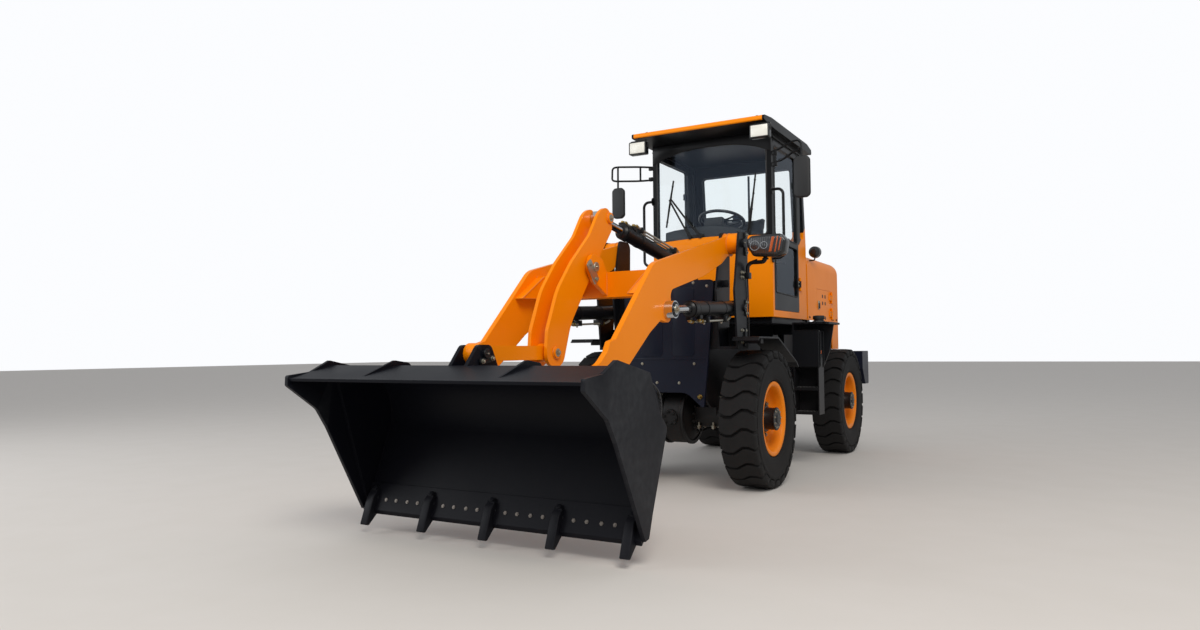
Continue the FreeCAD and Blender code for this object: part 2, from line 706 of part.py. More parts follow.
def bucket():
    inner = [floor_end, heel_corner, roof_end]
    outer = offset_path(inner, s.bucket_wall)
    half_wide = "bucket_half - bucket_side"
    shell_rows = from_pin(bucket_pin, [
        inner[0], inner[1] + (heel_radius,), inner[2], outer[2],
        outer[1] + (heel_radius + s.bucket_wall,), outer[0]])
    shell = plate("bucket_shell", "x", "-(%s)" % half_wide, half_wide, shell_rows)
    side_rows = from_pin(bucket_pin, [
        (-815, 55, 12), (-818, 0, 15), (-610, -140, 80), (-535, -250, 100), (-250, -758), (-210, -751),
        (-168, -641), (15, -226, 30), (-70, -144, 10), (-179, 66, 15), (-521, 134, 15), (-653, 72, 15)])
    side = plate("bucket_side_plate", "x", half_wide, "bucket_half", side_rows)
    edge_outer = offset_path(inner, -(s.edge_thick - s.bucket_wall))
    start = (floor_end[0] - 12, floor_end[1] - 30)
    share = 0.19
    far_in = (floor_end[0] + (heel_corner[0] - floor_end[0]) * share,
              floor_end[1] + (heel_corner[1] - floor_end[1]) * share)
    lift = (edge_outer[0][0] - floor_end[0], edge_outer[0][1] - floor_end[1])
    edge_rows = from_pin(bucket_pin, [
        start, (start[0] + lift[0], start[1] + lift[1] + 20), (far_in[0] + lift[0], far_in[1] + lift[1]),
        far_in, (outer[0][0], outer[0][1])])
    edge = plate("bucket_edge", "x", "-(%s)" % half_wide, half_wide, edge_rows)
    guard_rows = from_pin(bucket_pin, [(-498, 88), (-806, 24), (-809, 40), (-502, 106)])
    guard = plate("bucket_guard", "x", "-(%s)" % half_wide, half_wide, guard_rows)
    # closes the shell's end behind the side cutter
    end_rows = from_pin(bucket_pin, [outer[2], outer[1] + (heel_radius + s.bucket_wall,), outer[0]])
    closing = plate("bucket_end", "x", half_wide + " - end_plate", half_wide + " + 1", end_rows)
    pieces = [shell, side, mirror("bucket_side_other", side), edge, guard, closing, mirror("bucket_end_other", closing)]
    rib_rows = from_pin(bucket_pin, [(-380, 80), (-400, 118, 30), (-520, 134, 40), (-780, 42), (-780, 28)])
    for i, x in enumerate((-440, 440)):
        pieces.append(plate("bucket_rib_%d" % i, "x", x - 8, x + 8, rib_rows))
    hidden = plate("bucket_room", "x", "-(%s)" % half_wide, half_wide, from_pin(bucket_pin, [
        inner[0], inner[1] + (heel_radius,), inner[2], (inner[2][0], inner[2][1] - 300),
        (inner[0][0] - 300, inner[0][1])]))
    # hinge ears, as (name, inner face, outer face, outline)
    hinge_rows = from_pin(bucket_pin, [
        (66, -40, 50), (60, 66, 50), (-80, 90, 60), (-240, 60), (-200, -60), (-60, -160), (20, -120, 30)])
    top_rows = from_pin(link_pin, [(-165, -75), (-60, 48, 44), (50, 48, 44), (130, -105), (0, -110)])
    low, high = "boom_inner - 4 - gap", "boom_inner + boom_plate + 4 + gap"
    ears = [
        ("hinge_in", low + " - ear_plate", low, hinge_rows),
        ("hinge_out", high, high + " + ear_plate", hinge_rows),
        ("link_ear", "link_half + gap", "link_half + gap + ear_plate", top_rows),
    ]
    for name, x_low, x_high, rows in ears:
        ear = cut(name, plate(name + "_plate", "x", x_low, x_high, rows), hidden)
        pieces += [ear, mirror(name + "_other", ear)]
    for name, radius, x_low, x_high, pin in (
            ("tip_pin_left", "tip_pin", low + " - ear_plate - 8", high + " + ear_plate + 8", bucket_pin),
            ("tip_pin_right", "tip_pin", "-(%s + ear_plate + 8)" % high, "-(%s - ear_plate - 8)" % low,
             bucket_pin),
            ("link_pin_body", "arm_pin", "-(link_half + gap + ear_plate + 8)",
             "link_half + gap + ear_plate + 8", link_pin)):
        pieces.append(bar(name, "x", radius, x_low, x_high, pin[0], pin[1]))
    tooth_rows = from_pin(bucket_pin, [
        (-205, -740), (-178, -672), (-232, -645), (-262, -690), (-316, -828, 6), (-294, -835, 6)])
    for i in range(-2, 3):
        mid = "%d * (bucket_half - tooth_edge) / 2" % i
        pieces.append(plate("tooth_%d" % (i + 2), "x", mid + " - tooth_wide / 2", mid + " + tooth_wide / 2",
                            tooth_rows))
    return node("bucket", fuse("bucket", pieces))


# Cylinders

def lift_cylinders():
    gland = between(lift_base, lift_eye, s.lift_barrel)
    neck = between(lift_base, lift_eye, s.lift_barrel - 60)
    tail = between(lift_base, lift_eye, 40)
    for side, sign in (("left", 1), ("right", -1)):
        x = sign * lift_x
        barrel = sloped("lift_tube_" + side, "lift_radius", x, tail, gland)
        collar = sloped("lift_collar_" + side, "lift_radius + 5", x, neck, gland)
        eye = bar("lift_eye_%s" % side, "x", "60", x - 50, x + 50, lift_base[0], lift_base[1])
        bore = bar("lift_bore_%s" % side, "x", "lift_pin + pin_play", x - 60, x + 60,
                   lift_base[0], lift_base[1])
        room = sloped("lift_room_" + side, s.lift_rod + s.gap, x, between(lift_base, lift_eye, 120),
                      between(lift_base, lift_eye, s.lift_barrel + 10))
        solid = cut("lift_bored_" + side, fuse("lift_solid_" + side, [barrel, collar, eye]), bore)
        node("lift_barrel_" + side, cut("lift_barrel_" + side, solid, room))
        rod = sloped("lift_rod_bar_" + side, "lift_rod", x, between(lift_base, lift_eye, 320), lift_eye)
        head = bar("lift_head_" + side, "x", "58", x - s.lift_head, x + s.lift_head, lift_eye[0], lift_eye[1])
        low, high = sorted((sign * (lift_x + 20), sign * (lift_x + 38)))
        cap = bar("lift_cap_" + side, "x", "34", low, high, lift_eye[0], lift_eye[1])
        node("lift_rod_" + side, fuse("lift_rod_" + side, [rod, head, cap]))


def tilt_cylinder():
    gland = between(tilt_base, rocker_top, s.tilt_barrel)
    neck = between(tilt_base, rocker_top, s.tilt_barrel - 70)
    barrel = sloped("tilt_tube", "tilt_radius", 0, between(tilt_base, rocker_top, 36), gland)
    collar = sloped("tilt_collar", "tilt_radius + 6", 0, neck, gland)
    eye = bar("tilt_eye", "x", "56", "-mast_inner + 4", "mast_inner - 4", tilt_base[0], tilt_base[1])
    bore = bar("tilt_bore", "x", "arm_pin + pin_play", "-mast_inner", "mast_inner", tilt_base[0], tilt_base[1])
    room = sloped("tilt_room", s.tilt_rod + s.gap, 0, between(tilt_base, rocker_top, 120),
                  between(tilt_base, rocker_top, s.tilt_barrel + 10))
    solid = cut("tilt_bored", fuse("tilt_solid", [barrel, collar, eye]), bore)
    node("tilt_barrel", cut("tilt_barrel", solid, room))
    rod = sloped("tilt_rod_bar", "tilt_rod", 0, between(tilt_base, rocker_top, 280), rocker_top)
    head = bar("tilt_head", "x", "56", "-rocker_inner + 4", "rocker_inner - 4", rocker_top[0], rocker_top[1])
    node("tilt_rod", fuse("tilt_rod", [rod, head]))


def level(name, radius, start, end):
    # a round bar between two (x, y) points at the steering height
    made = doc.addObject("Part::Cylinder", name)
    along = FreeCAD.Vector(end[0] - start[0], end[1] - start[1], 0)
    bind(made, "Radius", radius)
    made.Height = along.Length
    made.Placement = FreeCAD.Placement(FreeCAD.Vector(start[0], start[1], s.steer_z),
                                       FreeCAD.Rotation(FreeCAD.Vector(0, 0, 1), along))
    return made


def steering_cylinders():
    for side, sign in (("left", 1), ("right", -1)):
        base = (sign * s.steer_base_x, s.steer_base_y)
        tip = (sign * s.steer_eye_x, s.steer_eye_y)
        tube = level("steer_tube_" + side, "steer_radius", between(base, tip, 36),
                     between(base, tip, s.steer_barrel))
        eye = bar("steer_eye_" + side, "z", "44", "steer_z - 22", "steer_z + 22", base[0], base[1])
        bore = bar("steer_bore_" + side, "z", "steer_pin + pin_play", "steer_z - 30", "steer_z + 30",
                   base[0], base[1])
        room = level("steer_room_" + side, s.steer_rod + s.gap, between(base, tip, 90),
                     between(base, tip, s.steer_barrel + 10))
        solid = cut("steer_bored_" + side, fuse("steer_solid_" + side, [tube, eye]), bore)
        node("steer_barrel_" + side, cut("steer_barrel_" + side, solid, room))
        rod = level("steer_rod_bar_" + side, "steer_rod", between(base, tip, 210), tip)
        head = bar("steer_head_" + side, "z", "36", "steer_z - 22", "steer_z + 22", tip[0], tip[1])
        node("steer_rod_" + side, fuse("steer_rod_" + side, [rod, head]))


# Rear chassis

def rear_frame():
    seats = []
    rail_rows = [
        (s.cross_y, s.hinge_low - 60), (s.cross_y, s.deck_z), (s.cross_y + 120, s.deck_z),
        (s.cross_y + 260, s.rail_high, 80), (s.rail_back, s.rail_high), (s.rail_back, s.rail_low),
        (s.cross_y + 400, s.rail_low, 60), (s.cross_y + 260, s.hinge_low - 60, 60)]
    rail = plate("rail_left", "x", "rail_half - rail_plate", "rail_half", rail_rows)
    holes = [[(x - 92, s.steer_z - 52, 40), (x - 92, s.steer_z + 52, 40), (x + 92, s.steer_z + 52, 40),
              (x + 92, s.steer_z - 52, 40)] for x in (-s.steer_base_x + 2, s.steer_base_x - 2)]
    cross = plate("rear_cross", "y", "cross_y", "cross_y + rail_plate", [
        (-s.rail_half, s.hinge_low - 60), (-s.rail_half, s.deck_z), (s.rail_half, s.deck_z),
        (s.rail_half, s.hinge_low - 60)], (), holes)
    tail = box("rear_tail", ("-rail_half", "rail_half"), ("rail_back - 25", "rail_back"),
               ("rail_low", "rail_high"))
    deck = box("rear_deck", ("-cab_half + 30", "cab_half - 30"), ("cab_front + 40", "cab_back + 40"),
               ("deck_z", "deck_z + deck_thick"))
    mounts = box("cab_mounts", ("cab_half - 130", "cab_half - 40"), ("cab_front + 80", "cab_back - 20"),
                 ("deck_z + deck_thick", "cab_floor"))
    wing = box("rear_wing", ("rail_half", "box_inner"), ("cross_y + 30", "cross_y + 90"),
               ("deck_z - 90", "deck_z"))
    hood_sill = box("hood_sill", ("rail_half", "hood_half - hood_wall"), ("cab_back + 40", "rail_back - 60"),
                    ("hood_low - 70", "hood_low - 40"))
    hanger = box("sill_hanger", ("rail_half - rail_plate", "rail_half"), ("cab_back + 40", "rail_back - 60"),
                 ("rail_high - 10", "hood_low - 40"))
    steer_lug = box("rear_steer_lug", ("steer_base_x - 30", "rail_half - 5"),
                    ("steer_base_y - 20", "steer_base_y + 60"), ("steer_z - 50", "steer_z - 22 - gap"))
    steer_pin = bar("rear_steer_pin", "z", "steer_pin", "steer_z - 45", "steer_z + 30", "steer_base_x",
                    "steer_base_y")
    # seats for the engine and the radiator
    for i, y in enumerate((s.engine_front + 110, s.engine_back - 110)):
        seat_block = box("engine_seat_%d" % i, ("engine_half - 25", "rail_half - rail_plate + 1"), (y - 45, y + 45),
                         ("engine_low - 40", "engine_low"))
        seats += [seat_block, mirror("engine_seat_%d_other" % i, seat_block)]
    seats.append(box("radiator_seat", ("-rail_half + 5", "rail_half - 5"), ("radiator_y - 55", "radiator_y + 55"),
                     ("rail_high - 25", "rail_high")))
    fork_rows = [
        (-200, s.cross_y + 5), (-72, s.hinge_y - 30, 50), (-25, s.hinge_y - 75, 60),
        (25, s.hinge_y - 75, 60), (72, s.hinge_y - 30, 50), (200, s.cross_y + 5)]
    pieces = [cross, tail, deck] + seats
    for part in (rail, mounts, wing, hood_sill, hanger, steer_lug, steer_pin):
        pieces += [part, mirror(part.Name + "_other", part)]
    for lvl in ("low", "high"):
        mid = "hinge_" + lvl
        low, high = mid + " - tongue_thick / 2 - gap", mid + " + tongue_thick / 2 + gap"
        pieces.append(plate("fork_under_" + lvl, "z", low + " - fork_thick", low, fork_rows))
        pieces.append(plate("fork_over_" + lvl, "z", high, high + " + fork_thick", fork_rows))
        pieces.append(bar("hinge_pin_" + lvl, "z", "hinge_pin", low + " - fork_thick", high + " + fork_thick",
                          "0", "hinge_y"))
    return node("rear_frame", fuse("rear_frame", pieces))


def engine():
    return node("engine_block", box("engine_block", ("-engine_half", "engine_half"), ("engine_front", "engine_back"),
                                    ("engine_low", "engine_high")))


def radiator():
    return node("radiator", box("radiator", ("-radiator_half", "radiator_half"), ("radiator_y - 45", "radiator_y + 45"),
                                ("rail_high", "1780")))


def counterweight():
    # the wide block is cut back at its foot to clear the rear tyres
    step_z = s.weight_low + s.weight_step
    wide = plate("weight_wide", "x", "-weight_half", "weight_half", [
        (weight_front, step_z), (weight_front, s.weight_high, 10), (rear_end, s.weight_high, 20),
        (rear_end, s.weight_low, 20), (weight_front + 125, s.weight_low)])
    core = box("weight_core", ("-480", "480"), ("rail_back + gap", "%f + 130" % weight_front),
               ("weight_low", "weight_high"))
    jaw = box("tow_jaw", ("-60", "60"), ("%f - 110" % rear_end, "%f + 20" % rear_end), ("tow_z - 45", "tow_z + 45"))
    pin_hole = bar("tow_hole", "z", "tow_pin", "weight_low - 10", "weight_high + 10", "0", "%f - 55" % rear_end)
    solid = fuse("weight_solid", [wide, core])
    return node("counterweight", cut("counterweight", cut("weight_jawed", solid, jaw), pin_hole))


def saddle_boxes():
    # tank on a side plate, the platform over it, its bracket, and the ladder below
    inner, outer, wide = s.box_inner, s.box_outer, s.platform_outer
    body = box("saddle_body", ("box_inner", "box_outer"), ("box_front", "box_back"), ("box_low", "box_high"))
    side = box("saddle_side", ("box_inner", "box_inner + 12"), ("box_front", "platform_back"), ("box_low", "deck_z"))
    bracket = plate("saddle_bracket", "y", "box_back - 2", "box_back + 13", [
        (inner, s.box_low), (outer - 6, s.box_low), (outer + 50, s.box_low + 141), (wide, s.deck_z),
        (inner, s.deck_z)])
    lip = plate("platform", "z", "deck_z - 5", "deck_z - 5 + platform_thick", [
        (inner, s.box_front), (wide, s.box_front, 25), (wide, s.platform_back, 40),
        (inner, s.platform_back + 330)])
    pieces = [body, side, bracket, lip]
    for i, (low, high) in enumerate((("box_inner + 3", "box_inner + 13"), ("box_outer - 14", "box_outer - 4"))):
        pieces.append(box("ladder_side_%d" % i, (low, high), ("box_front + 10", "box_back - 10"),
                          ("ladder_low", "box_low + 5")))
    pieces.append(box("ladder_back", ("box_inner + 3", "box_outer - 4"), ("box_back - 22", "box_back - 12"),
                      ("ladder_low", "box_low + 5")))
    for i, rise in enumerate((0, 215)):
        pieces.append(box("ladder_tread_%d" % i, ("box_inner + 3", "box_outer - 4"), ("box_front + 10", "box_back - 10"),
                          ("ladder_low + %d" % rise, "ladder_low + %d" % (rise + 26))))
    return node("saddle_boxes", pair("saddle_boxes", fuse("saddle_half", pieces)))


# Hinges with an upright pin, standing proud of a side wall: (wall, edge) are the wall's face and the leaf's edge

door_high = s.cab_top - s.door_head
roof_peak = s.cab_top + s.roof_thick
door_hinges = (s.door_low + 265, s.cab_top - 355)
hatch_hinges = (1430, 1600)


def hung_leaf(name, wall, edge, heights):
    # the leaf's straps and knuckles, and the bores to cut in them
    solids, bores = [], []
    for i, z in enumerate(heights):
        solids.append(box("%s_strap_%d" % (name, i), ("%s - 6" % wall, "%s + 9" % wall),
                          ("%s - 60" % edge, "%s - 2" % edge), (z - 30, z + 30)))
        solids.append(box("%s_bridge_%d" % (name, i), ("%s + 3" % wall, "%s + 16" % wall),
                          ("%s - 14" % edge, "%s + 6" % edge), (z - 30, z + 30)))
        solids.append(bar("%s_knuckle_%d" % (name, i), "z", "hinge_knuckle", z - 30, z + 30,
                          wall + " + 12", edge + " + 6"))
        bores.append(bar("%s_eye_%d" % (name, i), "z", "hinge_wire + pin_play", z - 40, z + 40,
                         wall + " + 12", edge + " + 6"))
    return solids, bores


def hung_post(name, wall, edge, heights):
    # the wall's own knuckles above and below each of the leaf's, with the pin through them
    solids = []
    for i, z in enumerate(heights):
        solids.append(bar("%s_wire_%d" % (name, i), "z", "hinge_wire", z - 60, z + 60,
                          wall + " + 12", edge + " + 6"))
        for j, (low, high) in enumerate((("%d - 60" % z, "%d - 30 - gap" % z), ("%d + 30 + gap" % z, "%d + 60" % z))):
            solids.append(bar("%s_ring_%d_%d" % (name, i, j), "z", "hinge_knuckle", low, high,
                              wall + " + 12", edge + " + 6"))
            solids.append(box("%s_foot_%d_%d" % (name, i, j), (wall + " - 5", wall + " + 16"),
                              (edge + " + 6", edge + " + 60"), (low, high)))
    return solids


# Cab

def quarter_rows():
    # the small window behind the door, beside the leaning rear wall
    low, high = s.sill_z + 50, s.cab_top - 95
    edge = [s.cab_back - 60 - 90 * (z - s.sill_z) / (s.cab_top - s.sill_z) for z in (low, high)]
    front = s.door_back + 66
    return [(front, low, 25), (front, high, 20), (edge[1], high, 20), (edge[0], low, 25)]


def cab_frame():
    outer_rows = [
        (s.cab_front, s.cab_floor), (s.cab_front, s.cab_top), (s.cab_back - 90, s.cab_top),
        (s.cab_back, s.sill_z), (s.cab_back, s.cab_floor)]
    wall = s.cab_wall
    room_rows = [
        (s.cab_front + wall, s.cab_floor + wall), (s.cab_front + wall, s.cab_top - wall),
        (s.cab_back - 90 - wall, s.cab_top - wall), (s.cab_back - wall, s.sill_z),
        (s.cab_back - wall, s.cab_floor + wall)]
    outer = plate("cab_outer", "x", "-cab_half", "cab_half", outer_rows)
    room = plate("cab_room", "x", "-cab_half + cab_wall", "cab_half - cab_wall", room_rows)
    front = plate("cab_front_hole", "y", "cab_front - 10", "cab_front + cab_wall + 10", [
        (-s.cab_half + 45, s.sill_z, 30), (-s.cab_half + 45, s.cab_top - 60, 40),
        (s.cab_half - 45, s.cab_top - 60, 40), (s.cab_half - 45, s.sill_z, 30)])
    rear = plate("cab_rear_hole", "y", "cab_back - 220", "cab_back + 10", [
        (-s.cab_half + 115, s.sill_z + 60, 40), (-s.cab_half + 115, s.cab_top - 150, 40),
        (s.cab_half - 115, s.cab_top - 150, 40), (s.cab_half - 115, s.sill_z + 60, 40)])
    quarter = plate("cab_quarter_hole", "x", "-cab_half - 10", "cab_half + 10", quarter_rows())
    door = box("cab_door_hole", ("-cab_half - 10", "cab_half + 10"), ("door_front - 2", "door_back + 2"),
               ("door_low - 2", "cab_top - door_head + 2"))
    made = outer
    for i, tool in enumerate((room, front, rear, door, quarter)):
        made = cut("cab_step_%d" % i, made, tool)
    posts = fuse("door_posts", hung_post("door_post", "cab_half", "door_back", door_hinges))
    return node("cab_frame", fuse("cab_frame", [made, posts, mirror("door_posts_other", posts)]))


def door(side, sign):
    # a frame with an upper and a lower window, as thick as the cab's wall
    rows = [
        (s.door_front, s.door_low, 30), (s.door_front, door_high, 40), (s.door_back, door_high, 40),
        (s.door_back, s.door_low, 30)]
    rail = s.door_rail_z
    upper = [
        (s.door_front + 35, rail + 25, 30), (s.door_front + 35, door_high - 45, 40),
        (s.door_back - 35, door_high - 45, 40), (s.door_back - 35, rail + 5, 30)]
    lower = [
        (s.door_front + 38, s.door_low + 155, 30), (s.door_front + 38, rail - 25, 30), (s.door_back - 38, rail - 45, 30),
        (s.door_back - 38, s.door_low + 140, 30)]
    frame = plate("door_frame_" + side, "x", "cab_half - door_thick", "cab_half", rows, (), [upper, lower])
    hung = hung_leaf("door_hinge_" + side, "cab_half", "door_back", door_hinges)
    solid = cut("door_solid_" + side, fuse("door_whole_" + side, [frame] + hung[0]), fuse("door_eyes_" + side, hung[1]))
    panes = []
    for i, pane in enumerate((upper, lower)):
        panes.append(plate("door_pane_%s_%d" % (side, i), "x", "cab_half - door_thick / 2 - glass_thick / 2",
                           "cab_half - door_thick / 2 + glass_thick / 2", pane))
    glass = doc.addObject("Part::Compound", "door_panes_" + side)
    glass.Links = panes
    if sign < 0:
        solid = mirror("door_%s_mirrored" % side, solid)
        glass = mirror("door_glass_%s_mirrored" % side, glass)
    node("door_" + side, solid)
    node("door_glass_" + side, glass)


def cab_glass():
    front = plate("windscreen", "y", "cab_front + 6", "cab_front + 6 + glass_thick", [
        (-s.cab_half + 45, s.sill_z, 30), (-s.cab_half + 45, s.cab_top - 60, 40),
        (s.cab_half - 45, s.cab_top - 60, 40), (s.cab_half - 45, s.sill_z, 30)])
    slope = math.atan2(90, s.cab_top - s.sill_z)
    y_at = lambda z: s.cab_back - 90 * (z - s.sill_z) / (s.cab_top - s.sill_z)
    low, high = s.sill_z + 50, s.cab_top - 100
    rows = [(y_at(low) - 22, low), (y_at(high) - 22, high), (y_at(high) - 16, high), (y_at(low) - 16, low)]
    sheet_glass = plate("rear_sheet", "x", "-cab_half + 80", "cab_half - 80", rows)
    rear = common("rear_window", sheet_glass, doc.getObject("cab_rear_hole"))
    made = doc.addObject("Part::Compound", "cab_glass")
    mid = "cab_half - cab_wall / 2"
    quarter = plate("quarter_pane", "x", mid + " - glass_thick / 2", mid + " + glass_thick / 2", quarter_rows())
    made.Links = [front, rear, quarter, mirror("quarter_pane_other", quarter)]
    return node("cab_glass", made)


def cab_roof():
    slab = plate("roof_slab", "x", "-roof_half", "roof_half", [
        (s.roof_front, s.cab_top + 20, 12), (s.roof_front, roof_peak - 20, 20), (s.roof_front + 200, roof_peak, 200),
        (s.roof_back - 150, roof_peak, 100), (s.roof_back, roof_peak - 30, 20), (s.roof_back, s.cab_top, 20),
        (s.cab_front - 30, s.cab_top, 60)])
    return node("cab_roof", slab)


def seat():
    base = box("seat_base", ("-170", "170"), ("1130", "1430"), ("cab_floor + cab_wall", "1600"))
    cushion = box("seat_cushion", ("-240", "240"), ("1050", "1480"), ("1600", "1730"))
    back = plate("seat_back", "x", "-225", "225", [
        (1430, 1700, 30), (1480, 2200, 40), (1590, 2200, 50), (1560, 1700, 40)])
    return node("seat", fuse("seat", [base, cushion, back]))


def steering_wheel():
    column = sloped("steer_column", "45", 0, (790, 1900), (940, 2190))
    hub = sloped("wheel_hub", "35", 0, (930, 2170), (960, 2250))
    ring = doc.addObject("Part::Torus", "wheel_ring")
    ring.Radius1 = 205
    ring.Radius2 = 14
    lean = FreeCAD.Rotation(FreeCAD.Vector(0, 0, 1), FreeCAD.Vector(0, 30, 85))
    ring.Placement = FreeCAD.Placement(FreeCAD.Vector(0, 960, 2252), lean)
    spokes = [bar("spoke_x", "x", "10", "-205", "205", "960", "2250")]
    console = box("dash", ("-200", "200"), ("cab_front + cab_wall", "800"), ("cab_floor + cab_wall", "2020"))
    return node("steering_wheel", fuse("steering_wheel", [column, hub, ring, console] + spokes))


def work_lamps():
    lamp = box("roof_lamp", ("485", "655"), ("roof_front + 10", "roof_front + 80"), ("cab_top - 128", "cab_top - 8"))
    stem = box("roof_lamp_stem", ("540", "600"), ("roof_front + 30", "roof_front + 60"), ("cab_top - 20", "cab_top + 15"))
    half = fuse("roof_lamp_half", [lamp, stem])
    return node("work_lamps", pair("work_lamps", half))


def mirrors():
    made = []
    arm_top = s.cab_top - 185
    # side, outward sign, how far the mirror's middle hangs below the upper arm
    for side, sign, hang in (("left", 1, 272), ("right", -1, 410)):
        z = arm_top - hang
        x_low, x_high = sorted((sign * 792, sign * 950))
        shell = box("mirror_shell_" + side, (x_low, x_high), ("535", "575"), (z - 180, z + 180))
        bracket_low, bracket_high = sorted((sign * s.cab_half, sign * (s.cab_half + 24)))
        bracket = box("mirror_bracket_" + side, (bracket_low, bracket_high), ("cab_front + 2", "cab_front + 36"),
                      (arm_top - 120, arm_top + 20))
        arm_low, arm_high = sorted((sign * (s.cab_half + 10), sign * 880))
        arms = [bar("mirror_arm_%s_%d" % (side, i), "x", "9", arm_low, arm_high, "cab_front + 18", h)
                for i, h in enumerate((arm_top - 100, arm_top))]
        reach = bar("mirror_reach_" + side, "y", "8", "549", "cab_front + 22", sign * 871, arm_top)
        drop = bar("mirror_drop_" + side, "z", "7", z + 100, arm_top + 5, sign * 871, "555")
        brace = bar("mirror_brace_" + side, "z", "7", arm_top - 105, arm_top - 5, sign * 871, "cab_front + 18")
        made.append(fuse("mirror_" + side, [shell, bracket, reach, drop, brace] + arms))
    both = doc.addObject("Part::Compound", "mirrors")
    both.Links = made
    return node("mirrors", both)


def handrails():
    long_bar = bar("rail_long", "z", "12", "sill_z - 224", "sill_z + 397", "cab_half + 99", "cab_front + 8")
    top_bar = bar("rail_top", "x", "12", "cab_half", "cab_half + 99", "cab_front + 8", "sill_z + 385")
    low_bar = bar("rail_foot", "x", "12", "cab_half", "cab_half + 99", "cab_front + 8", "sill_z - 212")
    return node("handrails", pair("handrails", fuse("handrail_half", [long_bar, top_bar, low_bar])))


# Hood

def hood():
    half, wall = s.hood_half, s.hood_wall
    section = [(-half, s.hood_tail_low), (-half, s.hood_top, 130), (half, s.hood_top, 130), (half, s.hood_tail_low)]
    hollow = [(-half + wall, s.hood_tail_low - 50), (-half + wall, s.hood_top - wall, 120),
              (half - wall, s.hood_top - wall, 120), (half - wall, s.hood_tail_low - 50)]
    outer = plate("hood_outer", "y", "hood_front", "hood_back", section)
    room = plate("hood_room", "y", "hood_front - 20", "hood_back - hood_wall", hollow)
    notch = box("hood_notch", ("-hood_half - 20", "hood_half + 20"), ("hood_front - 20", "2640"),
                ("hood_tail_low - 30", "hood_low"))
    hatch = box("hood_hatch_hole", ("-hood_half - 20", "hood_half + 20"), ("hatch_front - 2", "hatch_back + 2"),
                ("hood_low - 2", "hatch_high + 2"))
    window = plate("grille_hole", "y", "hood_back - 40", "hood_back + 20", [
        (-440, s.hood_tail_low + 60, 30), (-440, 1800, 60), (440, 1800, 60), (440, s.hood_tail_low + 60, 30)])
    made = outer
    for i, tool in enumerate((room, notch, hatch, window)):
        made = cut("hood_step_%d" % i, made, tool)
    posts = fuse("hatch_posts", hung_post("hatch_post", "hood_half", "hatch_back", hatch_hinges))
    return node("hood", fuse("hood", [made, posts, mirror("hatch_posts_other", posts)]))


def hatches():
    holes = [(y, z, 11) for y in (2270, 2370) for z in (1600, 1530, 1380)]
    rows = [(s.hatch_front, s.hood_low, 12), (s.hatch_front, s.hatch_high, 12),
            (s.hatch_back, s.hatch_high, 12), (s.hatch_back, s.hood_low, 12)]
    panel = plate("hatch_panel", "x", "hood_half - hood_wall", "hood_half", rows, holes)
    hung = hung_leaf("hatch_hinge", "hood_half", "hatch_back", hatch_hinges)
    solid = cut("hatch_solid", fuse("hatch_whole", [panel] + hung[0]), fuse("hatch_eyes", hung[1]))
    node("hood_hatch_left", solid)
    node("hood_hatch_right", mirror("hatch_mirrored", solid))


def grille():
    # its frame sits against the inside of the hood's rear wall, round the window
    frame = plate("grille_frame", "y", "hood_back - hood_wall - 20", "hood_back - hood_wall", [
        (-460, s.hood_tail_low + 40, 30), (-460, 1820, 60), (460, 1820, 60), (460, s.hood_tail_low + 40, 30)],
        (), [[(-400, s.hood_tail_low + 100, 20), (-400, 1760, 40), (400, 1760, 40), (400, s.hood_tail_low + 100, 20)]])
    pieces = [frame]
    count = 14
    for i in range(count):
        z = s.hood_tail_low + 130 + i * (1730 - s.hood_tail_low - 130) / (count - 1)
        pieces.append(box("slat_%d" % i, ("-405", "405"), ("hood_back - hood_wall - 16", "hood_back - hood_wall - 4"), (z - 7, z + 7)))
    return node("rear_grille", fuse("rear_grille", pieces))


def exhaust():
    stack = bar("stack", "z", "38", "hood_top", "2420", "-230", "1980")
    base = bar("stack_base", "z", "60", "hood_top", "hood_top + 30", "-230", "1980")
    cap = bar("air_cap", "z", "85", "hood_top + 90", "hood_top + 190", "240", "1980")
    cap_stem = bar("air_stem", "z", "45", "hood_top", "hood_top + 100", "240", "1980")
    made = doc.addObject("Part::Compound", "exhaust_and_intake")
    made.Links = [fuse("stack_whole", [stack, base]), fuse("air_whole", [cap, cap_stem])]
    return node("exhaust_and_intake", made)


wheels()
axle("front_axle", "0", "frame_low", s.frame_half - 10)
axle("rear_axle", "wheelbase", "rail_low", s.rail_half - 12)
boom_towers()
front_frame()
front_cover()
front_fenders()
headlamps()
boom()
rocker()
link()
bucket()
lift_cylinders()
tilt_cylinder()
steering_cylinders()
rear_frame()
engine()
radiator()
counterweight()
saddle_boxes()
cab_frame()
door("left", 1)
door("right", -1)
cab_glass()
cab_roof()
seat()
steering_wheel()
work_lamps()
mirrors()
handrails()
hood()
hatches()
grille()
exhaust()

# Every piece moves back together, so that the origin is under the middle of the whole machine
for name, made in nodes.items():
    made.Label = name
doc.recompute()

broken = [o.Name for o in doc.Objects if "Invalid" in o.State or "Error" in o.State]
if broken:
    raise SystemExit("failed: " + ", ".join(broken))

